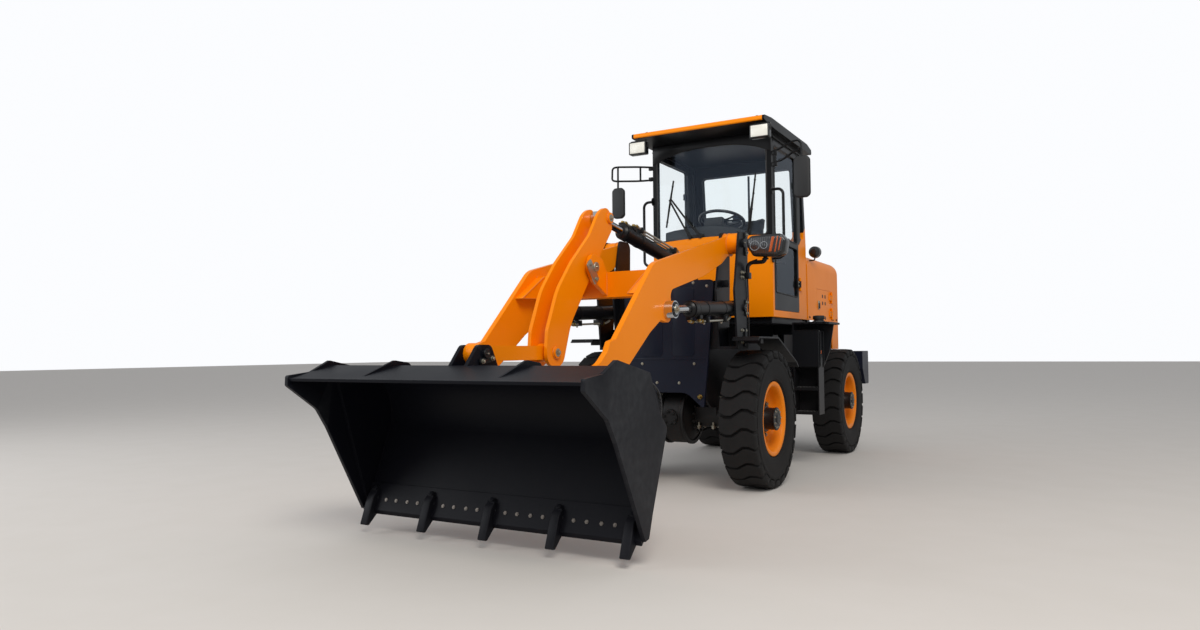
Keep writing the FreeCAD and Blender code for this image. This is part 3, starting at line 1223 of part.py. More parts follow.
middle = (rear_end - s.front_reach) / 2
total = 0
for name, made in nodes.items():
    shape = made.Shape
    if shape.isNull() or not shape.isValid():
        raise SystemExit("bad shape: " + name)
    moved = doc.addObject("Part::Feature", name + "_placed")
    moved.Shape = shape.copy()
    moved.Placement = FreeCAD.Placement(FreeCAD.Vector(0, -middle, 0), FreeCAD.Rotation()).multiply(moved.Placement)
    solids = moved.Shape.Solids
    total += moved.Shape.Volume
    moved.Shape.exportStep("parts/%s.step" % name)
    print("%-22s %3d solids  %8.2f litres" % (name, len(solids), moved.Shape.Volume / 1e6))
print("%d nodes, %.3f cubic metres" % (len(nodes), total / 1e9))
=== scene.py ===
import json
import math

import bmesh
import bpy
from mathutils import Matrix, Vector


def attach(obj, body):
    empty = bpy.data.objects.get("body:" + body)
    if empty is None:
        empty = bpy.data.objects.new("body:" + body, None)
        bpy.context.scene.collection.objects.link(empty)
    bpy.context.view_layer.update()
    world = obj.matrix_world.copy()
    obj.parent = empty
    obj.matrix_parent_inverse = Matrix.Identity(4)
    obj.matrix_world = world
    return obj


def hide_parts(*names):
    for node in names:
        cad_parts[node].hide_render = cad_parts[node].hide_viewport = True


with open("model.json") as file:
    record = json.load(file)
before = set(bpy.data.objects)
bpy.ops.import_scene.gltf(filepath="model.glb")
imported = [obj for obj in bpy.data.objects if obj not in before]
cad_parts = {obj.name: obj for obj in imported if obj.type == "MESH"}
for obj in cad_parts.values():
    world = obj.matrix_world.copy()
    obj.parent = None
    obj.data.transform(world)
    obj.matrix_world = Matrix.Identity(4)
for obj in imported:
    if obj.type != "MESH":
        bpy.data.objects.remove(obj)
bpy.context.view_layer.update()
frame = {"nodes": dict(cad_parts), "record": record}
nodes = frame["nodes"]
print("stage: frame loaded")

cameraView = {"place": (2.7967, -6.2671, 1.0703), "turn": 29.73, "tilt": -2.42, "roll": -0.49, "lens": 24.859}


def addCamera(view):
    data = bpy.data.cameras.new("photoCamera")
    data.lens = view["lens"]
    data.sensor_width = 36
    data.clip_start, data.clip_end = 0.05, 200
    camera = bpy.data.objects.new("photoCamera", data)
    bpy.context.scene.collection.objects.link(camera)
    turn, tilt, roll = (math.radians(view[k]) for k in ("turn", "tilt", "roll"))
    back = Vector((math.sin(turn) * math.cos(tilt), -math.cos(turn) * math.cos(tilt), math.sin(tilt)))
    right = (-back).cross(Vector((0, 0, 1))).normalized()
    up = right.cross(-back)
    side = right * math.cos(roll) + up * math.sin(roll)
    top = up * math.cos(roll) - right * math.sin(roll)
    camera.matrix_world = Matrix((side, top, back)).transposed().to_4x4()
    camera.location = view["place"]
    bpy.context.scene.camera = camera


addCamera(cameraView)


frontShift = 0.0375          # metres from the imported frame's origin back to the front axle's place in millimetres
sides = (("left", 1), ("right", -1))


def at(x, y, z):
    # millimetres counted from the front axle's middle on the ground, as in the part's source
    return Vector((x / 1000, y / 1000 - frontShift, z / 1000))


def yOf(y):
    return at(0, y, 0).y


def yz(y, z):
    return (y / 1000 - frontShift, z / 1000)


# Finishes

def node(tree, kind, **values):
    made = tree.nodes.new(kind)
    for key, value in values.items():
        setattr(made, key, value)
    return made


def linear(hexColour):
    parts = [int(hexColour[i:i + 2], 16) / 255 for i in (0, 2, 4)]
    return tuple(c / 12.92 if c <= 0.04045 else ((c + 0.055) / 1.055) ** 2.4 for c in parts) + (1,)


def maths(tree, kind, first, second):
    # a Math node fed by sockets or plain numbers
    made = node(tree, "ShaderNodeMath", operation=kind)
    for i, value in enumerate((first, second)):
        if isinstance(value, (int, float)):
            made.inputs[i].default_value = value
        else:
            tree.links.new(value, made.inputs[i])
    return made.outputs[0]


def mixed(tree, share, first, second):
    made = node(tree, "ShaderNodeMix", data_type="RGBA")
    tree.links.new(share, made.inputs[0])
    for socket, value in ((made.inputs[6], first), (made.inputs[7], second)):
        if isinstance(value, str):
            socket.default_value = linear(value)
        else:
            tree.links.new(value, socket)
    return made.outputs[2]


def noise(tree, place, scale, detail, roughness=0.5):
    made = node(tree, "ShaderNodeTexNoise")
    made.inputs["Scale"].default_value = scale
    made.inputs["Detail"].default_value = detail
    made.inputs["Roughness"].default_value = roughness
    tree.links.new(place, made.inputs["Vector"])
    return made.outputs["Fac"]


def ranged(tree, value, fromRange, toRange):
    made = node(tree, "ShaderNodeMapRange")
    for socket, number in zip(("From Min", "From Max", "To Min", "To Max"), (*fromRange, *toRange)):
        made.inputs[socket].default_value = number
    tree.links.new(value, made.inputs["Value"])
    return made.outputs["Result"]


def bumped(tree, height, strength, distance):
    made = node(tree, "ShaderNodeBump")
    made.inputs["Strength"].default_value = strength
    made.inputs["Distance"].default_value = distance
    tree.links.new(height, made.inputs["Height"])
    return made


def finish(name, look):
    # two close colours in soft patches, a second colour zone, dust low down and on upward faces,
    # rubbed edges, uneven gloss and a fine grain
    material = bpy.data.materials.new(name)
    material.use_nodes = True
    tree = material.node_tree
    shader = tree.nodes["Principled BSDF"]
    link = tree.links.new
    coords = node(tree, "ShaderNodeTexCoord").outputs["Object"]
    split = node(tree, "ShaderNodeSeparateXYZ")
    link(coords, split.inputs[0])
    patches = noise(tree, coords, look.get("patchScale", 3), 6)
    colour = mixed(tree, patches, look["colour"], look.get("second", look["colour"]))
    if "zone" in look:
        # everything above a height that climbs towards the back takes the zone's colour
        zone = look["zone"]
        climb = maths(tree, "MAXIMUM", maths(tree, "SUBTRACT", split.outputs["Y"], zone["from"]), 0)
        line = maths(tree, "ADD", maths(tree, "MULTIPLY", climb, zone["climb"]), zone["above"])
        inZone = maths(tree, "GREATER_THAN", split.outputs["Z"], line)
        if "halfWide" in zone:
            across = maths(tree, "ABSOLUTE", split.outputs["X"], 0)
            inZone = maths(tree, "MULTIPLY", inZone, maths(tree, "LESS_THAN", across, zone["halfWide"]))
        colour = mixed(tree, inZone, colour, zone["colour"])
    if look.get("dust"):
        low = ranged(tree, split.outputs["Z"], (1.1, 0.0), (0, look["dust"]))
        faceUp = node(tree, "ShaderNodeSeparateXYZ")
        link(node(tree, "ShaderNodeNewGeometry").outputs["Normal"], faceUp.inputs[0])
        shelf = maths(tree, "MULTIPLY", maths(tree, "MAXIMUM", faceUp.outputs["Z"], 0),
                      look.get("shelf", 0.25) * look["dust"])
        speck = noise(tree, coords, 11, 9, 0.72)
        amount = maths(tree, "MULTIPLY", maths(tree, "ADD", low, shelf), speck)
        colour = mixed(tree, amount, colour, look.get("dustColour", "8f7a68"))
    if look.get("rub"):
        # bare metal or paler rubber shows where edges are rubbed
        pointed = node(tree, "ShaderNodeNewGeometry").outputs["Pointiness"]
        ridge = ranged(tree, pointed, (0.53, 0.62), (0, look["rub"]))
        colour = mixed(tree, maths(tree, "MULTIPLY", ridge, noise(tree, coords, 24, 5)), colour,
                       look.get("rubColour", "8a8d90"))
    link(colour, shader.inputs["Base Color"])
    rough, spread = look.get("rough", 0.4), look.get("roughSpread", 0.08)
    link(ranged(tree, patches, (0, 1), (max(0.02, rough - spread), rough + spread)), shader.inputs["Roughness"])
    for socket, key, plain in (("Metallic", "metal", 0), ("Coat Weight", "coat", 0),
                               ("Coat Roughness", "coatRough", 0.08),
                               ("Sheen Weight", "sheen", 0), ("Specular IOR Level", "shine", 0.5)):
        shader.inputs[socket].default_value = look.get(key, plain)
    if "light" in look:
        shader.inputs["Emission Color"].default_value = linear(look["colour"])
        shader.inputs["Emission Strength"].default_value = look["light"]
    bump = bumped(tree, noise(tree, coords, look.get("grainScale", 260), 3), look.get("grain", 0.05), 0.0005)
    if "ribs" in look:
        # fins, weave or lens flutes: one set of waves
        rows = node(tree, "ShaderNodeTexWave", bands_direction=look["ribs"]["along"])
        rows.inputs["Scale"].default_value = look["ribs"]["scale"]
        link(coords, rows.inputs["Vector"])
        ribbed = bumped(tree, rows.outputs["Fac"], look["ribs"]["strength"], look["ribs"]["deep"])
        link(ribbed.outputs["Normal"], bump.inputs["Normal"])
    elif look.get("edge"):
        edge = node(tree, "ShaderNodeBevel", samples=4)
        edge.inputs["Radius"].default_value = look["edge"]
        link(edge.outputs["Normal"], bump.inputs["Normal"])
    link(bump.outputs["Normal"], shader.inputs["Normal"])
    return material


def glass(name, tint, shineTint, blend):
    # a thin tinted pane: mostly clear, with a clean reflection that grows at a slant
    material = bpy.data.materials.new(name)
    material.use_nodes = True
    tree = material.node_tree
    tree.nodes.remove(tree.nodes["Principled BSDF"])
    clear = node(tree, "ShaderNodeBsdfTransparent")
    clear.inputs["Color"].default_value = linear(tint)
    mirror = node(tree, "ShaderNodeBsdfGlossy")
    mirror.inputs["Color"].default_value = linear(shineTint)
    mirror.inputs["Roughness"].default_value = 0.03
    join = node(tree, "ShaderNodeMixShader")
    shine = node(tree, "ShaderNodeLayerWeight")
    shine.inputs["Blend"].default_value = blend
    # the far face of a pane only lets light through
    inside = node(tree, "ShaderNodeNewGeometry").outputs["Backfacing"]
    front = maths(tree, "MULTIPLY", shine.outputs["Fresnel"], maths(tree, "SUBTRACT", 1.0, inside))
    tree.links.new(front, join.inputs[0])
    tree.links.new(clear.outputs[0], join.inputs[1])
    tree.links.new(mirror.outputs[0], join.inputs[2])
    tree.links.new(join.outputs[0], tree.nodes["Material Output"].inputs["Surface"])
    return material


looks = {
    "orangePaint": {"colour": "f98c00", "second": "f28300", "rough": 0.34, "roughSpread": 0.05, "coat": 0.03,
                    "dust": 0.05,
                    "edge": 0.004, "grain": 0.03, "shine": 0.12},
    "cabPaint": {"colour": "f98c00", "second": "f28300", "rough": 0.34, "roughSpread": 0.05, "coat": 0.03,
                 "edge": 0.004,
                 "shine": 0.12,
                 "zone": {"colour": "101113", "above": 2.045, "from": 1.44, "climb": 0.9}},
    "rimPaint": {"colour": "f58a00", "second": "ea7c00", "rough": 0.4, "dust": 0.25, "shine": 0.15, "edge": 0.003,
                 "dustColour": "a07a58"},
    "navyPaint": {"colour": "151b2c", "second": "111624", "rough": 0.36, "coat": 0.03, "dust": 0.06, "edge": 0.004,
                  "shine": 0.2},
    "bucketPaint": {"colour": "0b0d14", "second": "0e1017", "rough": 0.44, "dust": 0.05, "edge": 0.004,
                    "dustColour": "5c4e46", "rub": 0.12, "patchScale": 2, "shine": 0.1},
    "blackPaint": {"colour": "0b0c0e", "second": "101114", "rough": 0.38, "coat": 0.04, "dust": 0.05, "edge": 0.003,
                   "shine": 0.25},
    "chassisPaint": {"colour": "0f1116", "second": "0c0d10", "rough": 0.42, "coat": 0.03, "dust": 0.14, "edge": 0.004,
                     "shine": 0.22, "dustColour": "6f6056"},
    "chromeRod": {"colour": "d6d8da", "second": "c8cacd", "rough": 0.1, "roughSpread": 0.03, "metal": 1,
                  "grain": 0.01},
    "zincPlate": {"colour": "b9b6a8", "second": "a39f8f", "rough": 0.35, "metal": 0.9, "edge": 0.001, "grain": 0.1},
    "brass": {"colour": "b79a5a", "second": "9c8248", "rough": 0.33, "metal": 1, "edge": 0.001},
    "tyreRubber": {"colour": "101011", "second": "151516", "rough": 0.75, "dust": 0.08, "edge": 0.005, "shelf": 0.1,
                   "shine": 0.2,
                   "dustColour": "6b5f57", "rub": 0.25, "rubColour": "303031", "grain": 0.2, "grainScale": 420},
    "hoseRubber": {"colour": "121213", "second": "19191a", "rough": 0.55, "edge": 0.001, "grain": 0.15},
    "castIron": {"colour": "0e0f11", "second": "141517", "rough": 0.5, "dust": 0.05, "edge": 0.006, "grain": 0.4,
                 "shine": 0.25,
                 "grainScale": 160},
    "seatCloth": {"colour": "2a2c31", "second": "222429", "rough": 0.9, "sheen": 0.3, "grain": 0.5,
                  "grainScale": 900},
    "mouldedPlastic": {"colour": "17181a", "second": "1c1d1f", "rough": 0.55, "edge": 0.002, "grain": 0.25,
                       "grainScale": 700},
    "lampPlastic": {"colour": "101113", "second": "151618", "rough": 0.3, "coat": 0.3, "edge": 0.002},
    "wiperBlack": {"colour": "0b0b0c", "second": "101011", "rough": 0.5, "edge": 0.001, "shine": 0.3},
    "lampLens": {"colour": "e8e6dc", "second": "dcdad0", "rough": 0.18, "coat": 0.6, "light": 0.12,
                 "ribs": {"along": "X", "scale": 30, "strength": 0.5, "deep": 0.002}},
    "amberLens": {"colour": "b9520f", "second": "a8480c", "rough": 0.2, "coat": 0.4,
                  "ribs": {"along": "Z", "scale": 60, "strength": 0.4, "deep": 0.001}},
    "redLens": {"colour": "a8201a", "second": "941a16", "rough": 0.2, "coat": 0.6,
                "ribs": {"along": "Z", "scale": 60, "strength": 0.4, "deep": 0.001}},
    "smokedLens": {"colour": "191b1e", "second": "2a2c30", "rough": 0.12, "coat": 0.6, "coatRough": 0.03,
                   "ribs": {"along": "X", "scale": 22, "strength": 0.6, "deep": 0.002}},
    "mirrorGlass": {"colour": "e4e8ea", "rough": 0.03, "roughSpread": 0.01, "metal": 1, "grain": 0},
    "cooler": {"colour": "6a6d70", "second": "5d6063", "rough": 0.45, "metal": 0.8,
               "ribs": {"along": "X", "scale": 60, "strength": 1.0, "deep": 0.004}},
    "stepGrip": {"colour": "141518", "second": "1b1c20", "rough": 0.5, "dust": 0.5, "rub": 0.6, "edge": 0.002},
    "roofPaint": {"colour": "0d0e10", "second": "121315", "rough": 0.36, "shine": 0.2, "edge": 0.004,
                  "zone": {"colour": "f98c00", "above": 2.974, "from": 9, "climb": 0, "halfWide": 0.6}},
    "weldOrange": {"colour": "ee8410", "second": "de770c", "rough": 0.42, "coat": 0.2,
                   "ribs": {"along": "DIAGONAL", "scale": 45, "strength": 0.8, "deep": 0.002}},
    "weldBlack": {"colour": "1b1d24", "second": "14161b", "rough": 0.45, "dust": 0.2,
                  "ribs": {"along": "DIAGONAL", "scale": 45, "strength": 0.8, "deep": 0.002}},
    "wornSteel": {"colour": "6f6b66", "second": "4b4845", "rough": 0.4, "metal": 0.8, "dust": 0.3, "edge": 0.001},
    "pipeSteel": {"colour": "b9b6aa", "second": "a19e92", "rough": 0.3, "metal": 0.45, "grain": 0.1},
}
finishes = {name: finish(name, look) for name, look in looks.items()}
finishes["windscreenGlass"] = glass("windscreenGlass", "fcfefe", "c6daf6", 0.38)
finishes["sideGlass"] = glass("sideGlass", "fdfefe", "dfe9f6", 0.2)

slotFinish = {"orange_paint": "orangePaint", "dark_paint": "navyPaint", "black_paint": "blackPaint",
              "chassis_paint": "chassisPaint", "chrome_rod": "chromeRod", "tyre_rubber": "tyreRubber",
              "tinted_glass": "windscreenGlass", "iron": "castIron", "seat_cloth": "seatCloth",
              "lamp_plastic": "lampPlastic", "cooler": "cooler"}
nodeFinish = {"cab_frame": "cabPaint", "cab_roof": "roofPaint", "bucket": "bucketPaint", "counterweight": "navyPaint",
              "front_fenders": "chassisPaint", "saddle_boxes": "chassisPaint", "door_left": "blackPaint",
              "door_right": "blackPaint", "door_glass_left": "sideGlass", "door_glass_right": "sideGlass"}
for part in frame["record"]["subparts"]:
    for slot in nodes[part["node"]].material_slots:
        slot.link = "OBJECT"
        slot.material = finishes[nodeFinish.get(part["node"], slotFinish[part["material_slot"]])]
print("stage: finishes")


# Making meshes

def keep(name, mesh, look, body="chassis", stands=()):
    # a finished piece: its mesh already lies in place, and it rides on a body
    piece = bpy.data.objects.new(name, mesh)
    bpy.context.scene.collection.objects.link(piece)
    mesh.materials.clear()
    mesh.materials.append(finishes[look])
    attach(piece, body)
    if stands:
        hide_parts(*stands)
    return piece


def smoothed(mesh, angle=35):
    # smooth faces with sharp edges kept where the surface turns hard
    made = bmesh.new()
    made.from_mesh(mesh)
    for face in made.faces:
        face.smooth = True
    for edge in made.edges:
        if len(edge.link_faces) == 2 and edge.calc_face_angle(0) > math.radians(angle):
            edge.smooth = False
    made.to_mesh(mesh)
    made.free()
    return mesh


def meshOf(name, points, faces, merge=0.0):
    mesh = bpy.data.meshes.new(name)
    mesh.from_pydata([tuple(p) for p in points], [], faces)
    made = bmesh.new()
    made.from_mesh(mesh)
    if merge:
        bmesh.ops.remove_doubles(made, verts=made.verts, dist=merge)
    bmesh.ops.recalc_face_normals(made, faces=made.faces)
    made.to_mesh(mesh)
    made.free()
    return mesh


def baked(obj):
    # the object's own modifiers worked into a plain mesh
    bpy.context.view_layer.update()
    graph = bpy.context.evaluated_depsgraph_get()
    mesh = bpy.data.meshes.new_from_object(obj.evaluated_get(graph))
    bpy.data.objects.remove(obj)
    return mesh


def placedWork(mesh):
    obj = bpy.data.objects.new("workPiece", mesh)
    bpy.context.scene.collection.objects.link(obj)
    return obj


def rounded(mesh, width, segments):
    obj = placedWork(mesh)
    bevel = obj.modifiers.new("roundEdges", "BEVEL")
    bevel.width = width
    bevel.segments = segments
    bevel.limit_method = "ANGLE"
    bevel.angle_limit = math.radians(35)
    bevel.harden_normals = False
    return baked(obj)


def joined(name, meshes):
    # several meshes as one
    made = bmesh.new()
    for mesh in meshes:
        made.from_mesh(mesh)
    mesh = bpy.data.meshes.new(name)
    made.to_mesh(mesh)
    made.free()
    return mesh


def keepAll(name, meshes, look, body="chassis", stands=()):
    return keep(name, joined(name, meshes), look, body, stands)


def moved(mesh, offset=(0, 0, 0), turn=None, scale=None):
    # a copy of a mesh, scaled, turned and set down elsewhere
    copy = mesh.copy()
    matrix = Matrix.Translation(Vector(offset))
    if turn is not None:
        matrix = matrix @ turn.to_4x4()
    if scale is not None:
        matrix = matrix @ Matrix.Diagonal((*scale, 1))
    copy.transform(matrix)
    if scale is not None and scale[0] * scale[1] * scale[2] < 0:
        copy.flip_normals()
    return copy


def mirrored(mesh):
    return moved(mesh, scale=(-1, 1, 1))


def spun(name, profile, segments, centre=(0, 0, 0), axis="X", sharp=35):
    # a closed ring of (along, radius) rows turned about an axis
    points, faces = [], []
    count = len(profile)
    for i in range(segments):
        angle = 2 * math.pi * i / segments
        c, s = math.cos(angle), math.sin(angle)
        for along, radius in profile:
            local = {"X": (along, radius * c, radius * s), "Y": (radius * s, along, radius * c),
                     "Z": (radius * c, radius * s, along)}[axis]
            points.append(Vector(centre) + Vector(local))
    for i in range(segments):
        a, b = i * count, ((i + 1) % segments) * count
        for j in range(count):
            k = (j + 1) % count
            faces.append((a + j, a + k, b + k, b + j))
    mesh = meshOf(name, points, faces, 0.00002)
    made = bmesh.new()
    made.from_mesh(mesh)
    bmesh.ops.dissolve_degenerate(made, dist=0.00001, edges=made.edges)
    loose = [f for f in made.faces if f.calc_area() < 1e-12]
    bmesh.ops.delete(made, geom=loose, context="FACES_ONLY")
    bmesh.ops.recalc_face_normals(made, faces=made.faces)
    made.to_mesh(mesh)
    made.free()
    return smoothed(mesh, sharp)


def slab(name, outline, axis, low, high, round_=0.0, segments=2):
    # an outline (in the two other axes, X before Y before Z) between two places along an axis
    spot = {"X": lambda a, b, d: (d, a, b), "Y": lambda a, b, d: (a, d, b), "Z": lambda a, b, d: (a, b, d)}[axis]
    count = len(outline)
    points = [spot(a, b, low) for a, b in outline] + [spot(a, b, high) for a, b in outline]
    faces = [tuple(range(count)), tuple(range(2 * count - 1, count - 1, -1))]
    faces += [(i, (i + 1) % count, count + (i + 1) % count, count + i) for i in range(count)]
    mesh = meshOf(name, points, faces)
    return smoothed(rounded(mesh, round_, segments), 40) if round_ else mesh


def block(name, low, high, round_=0.004, segments=2):
    outline = [(low[0], low[1]), (high[0], low[1]), (high[0], high[1]), (low[0], high[1])]
    return slab(name, outline, "Z", low[2], high[2], round_, segments)


def sidePlate(name, ys, zs, xs, round_, segments=2):
    # a plate on a side wall: its ranges in millimetres along Y and Z, and its two faces in metres along X
    outline = [yz(ys[0], zs[0]), yz(ys[1], zs[0]), yz(ys[1], zs[1]), yz(ys[0], zs[1])]
    return slab(name, outline, "X", *sorted(xs), round_, segments)


def cutCorners(low, high, bottom, top, cut):
    return [(low + cut, bottom), (high - cut, bottom), (high, bottom + cut), (high, top - cut), (high - cut, top),
            (low + cut, top), (low, top - cut), (low, bottom + cut)]


def rod(name, start, end, radius, segments=16, chamfer=0.0):
    # a round bar between two points, its ends eased
    start, end = Vector(start), Vector(end)
    length = (end - start).length
    ease = chamfer or radius * 0.15
    rows = [(0, 0), (0, radius - ease), (ease, radius), (length - ease, radius), (length, radius - ease), (length, 0)]
    mesh = spun(name, rows, segments, axis="Z")
    return moved(mesh, start, (end - start).to_track_quat("Z", "Y").to_matrix())


def bentTube(name, points, radius, bend, sides=5):
    # a steel tube through corner points, each corner turned by two curve handles
    curve = bpy.data.curves.new(name, "CURVE")
    curve.dimensions = "3D"
    curve.bevel_depth = radius
    curve.bevel_resolution = sides
    curve.use_fill_caps = True
    curve.resolution_u = 8
    points = [Vector(p) for p in points]
    spots = [(points[0], None, None)]
    for i in range(1, len(points) - 1):
        back, ahead = points[i - 1] - points[i], points[i + 1] - points[i]
        reach = min(bend, back.length * 0.49, ahead.length * 0.49)
        first, last = points[i] + back.normalized() * reach, points[i] + ahead.normalized() * reach
        spots.append((first, None, first.lerp(points[i], 0.55)))
        spots.append((last, last.lerp(points[i], 0.55), None))
    spots.append((points[-1], None, None))
    spline = curve.splines.new("BEZIER")
    spline.bezier_points.add(len(spots) - 1)
    for i, (point, left, right) in enumerate(spots):
        knot = spline.bezier_points[i]
        knot.co = point
        before, after = spots[max(i - 1, 0)][0], spots[min(i + 1, len(spots) - 1)][0]
        knot.handle_left = left if left is not None else point.lerp(before, 0.3)
        knot.handle_right = right if right is not None else point.lerp(after, 0.3)
    obj = bpy.data.objects.new(name, curve)
    bpy.context.scene.collection.objects.link(obj)
    mesh = baked(obj)
    for polygon in mesh.polygons:
        polygon.use_smooth = True
    return mesh


# Geometry Nodes: heads at marked places, and copies round an axle

def newTree(name, inputs):
    tree = bpy.data.node_groups.new(name, "GeometryNodeTree")
    tree.interface.new_socket("Geometry", in_out="INPUT", socket_type="NodeSocketGeometry")
    for label, kind, value in inputs:
        socket = tree.interface.new_socket(label, in_out="INPUT", socket_type=kind)
        if value is not None:
            socket.default_value = value
    tree.interface.new_socket("Geometry", in_out="OUTPUT", socket_type="NodeSocketGeometry")
    return tree, node(tree, "NodeGroupInput"), node(tree, "NodeGroupOutput")


def instanced(tree, given, result, sockets):
    # instances on points, made real and given the finish
    link = tree.links.new
    place = node(tree, "GeometryNodeInstanceOnPoints")
    for name, value in sockets.items():
        link(value, place.inputs[name])
    real = node(tree, "GeometryNodeRealizeInstances")
    link(place.outputs[0], real.inputs[0])
    coat = node(tree, "GeometryNodeSetMaterial")
    link(real.outputs[0], coat.inputs["Geometry"])
    link(given.outputs["Finish"], coat.inputs["Material"])
    link(coat.outputs[0], result.inputs[0])
    return tree


def boltTree():
    # hex head on a washer with the thread's end showing, at each point, looking along its facing
    tree, given, result = newTree("boltHeads", [
        ("Across Flats", "NodeSocketFloat", 0.024), ("Head Height", "NodeSocketFloat", 0.012),
        ("Washer Width", "NodeSocketFloat", 0.034), ("Finish", "NodeSocketMaterial", None)])
    link = tree.links.new

    def stub(sides, widthFrom, share, lift, tall):
        height = given.outputs["Head Height"]
        cylinder = node(tree, "GeometryNodeMeshCylinder")
        cylinder.inputs["Vertices"].default_value = sides
        link(maths(tree, "MULTIPLY", given.outputs[widthFrom], share), cylinder.inputs["Radius"])
        link(maths(tree, "MULTIPLY", height, tall), cylinder.inputs["Depth"])
        spot = node(tree, "ShaderNodeCombineXYZ")
        link(maths(tree, "MULTIPLY", height, lift), spot.inputs["Z"])
        shift = node(tree, "GeometryNodeTransform")
        link(cylinder.outputs["Mesh"], shift.inputs["Geometry"])
        link(spot.outputs[0], shift.inputs["Translation"])
        return shift.outputs["Geometry"]

    join = node(tree, "GeometryNodeJoinGeometry")
    for piece in (stub(20, "Washer Width", 0.5, 0.09, 0.26), stub(6, "Across Flats", 0.577, 0.7, 1.0),
                  stub(10, "Across Flats", 0.3, 1.25, 0.5)):
        link(piece, join.inputs[0])
    facing = node(tree, "GeometryNodeInputNamedAttribute", data_type="FLOAT_VECTOR")
    facing.inputs["Name"].default_value = "facing"
    align = node(tree, "FunctionNodeAlignRotationToVector", axis="Z")
    link(facing.outputs["Attribute"], align.inputs["Vector"])
    return instanced(tree, given, result, {"Points": given.outputs["Geometry"], "Instance": join.outputs[0],
                                           "Rotation": align.outputs["Rotation"]})


def ringTree():
    # copies of the given mesh turned about the X axis at even steps
    tree, given, result = newTree("ringOfCopies", [
        ("Count", "NodeSocketInt", 24), ("Finish", "NodeSocketMaterial", None)])
    count = given.outputs["Count"]
    points = node(tree, "GeometryNodePoints")
    tree.links.new(count, points.inputs["Count"])
    index = node(tree, "GeometryNodeInputIndex").outputs[0]
    turn = node(tree, "FunctionNodeAxisAngleToRotation")
    turn.inputs["Axis"].default_value = (1, 0, 0)
    tree.links.new(maths(tree, "MULTIPLY", index, maths(tree, "DIVIDE", 2 * math.pi, count)), turn.inputs["Angle"])
    return instanced(tree, given, result, {"Points": points.outputs[0], "Instance": given.outputs["Geometry"],
                                           "Rotation": turn.outputs["Rotation"]})


trees = {"bolts": boltTree(), "ring": ringTree()}


def grown(mesh, treeName, values):
    # runs a tree on a mesh and gives the plain mesh back
    obj = placedWork(mesh)
    modifier = obj.modifiers.new("made", "NODES")
    tree = trees[treeName]
    modifier.node_group = tree
    for item in tree.interface.items_tree:
        if item.in_out == "INPUT" and item.name in values:
            modifier[item.identifier] = values[item.name]
    return baked(obj)


def bolts(places, width=0.024, height=0.012, washer=0.034, look="zincPlate"):
    # places are (point, facing) pairs
    mesh = bpy.data.meshes.new("boltPlaces")
    mesh.from_pydata([tuple(p) for p, _ in places], [], [])
    facing = mesh.attributes.new("facing", "FLOAT_VECTOR", "POINT")
    for i, (_, way) in enumerate(places):
        facing.data[i].vector = way
    return grown(mesh, "bolts", {"Across Flats": width, "Head Height": height, "Washer Width": washer,
                                 "Finish": finishes[look]})


def ring(mesh, count, look):
    return grown(mesh, "ring", {"Count": count, "Finish": finishes[look]})


def circleOf(centre, axis, radius, count):
    # evenly spaced (point, facing) pairs round a centre, looking along the axis
    way = Vector(axis).normalized()
    first = way.orthogonal().normalized()
    second = way.cross(first)
    spots = []
    for i in range(count):
        angle = 2 * math.pi * i / count
        spots.append((Vector(centre) + (first * math.cos(angle) + second * math.sin(angle)) * radius, way))
    return spots


# Wheels

wheelSizes = {"track": 0.660, "base": 2482, "radius": 0.530, "half": 0.140, "lugs": 24, "floor": 0.506,
              "groove": 0.027, "wave": 0.027, "nutCircle": 0.150, "nuts": 10}


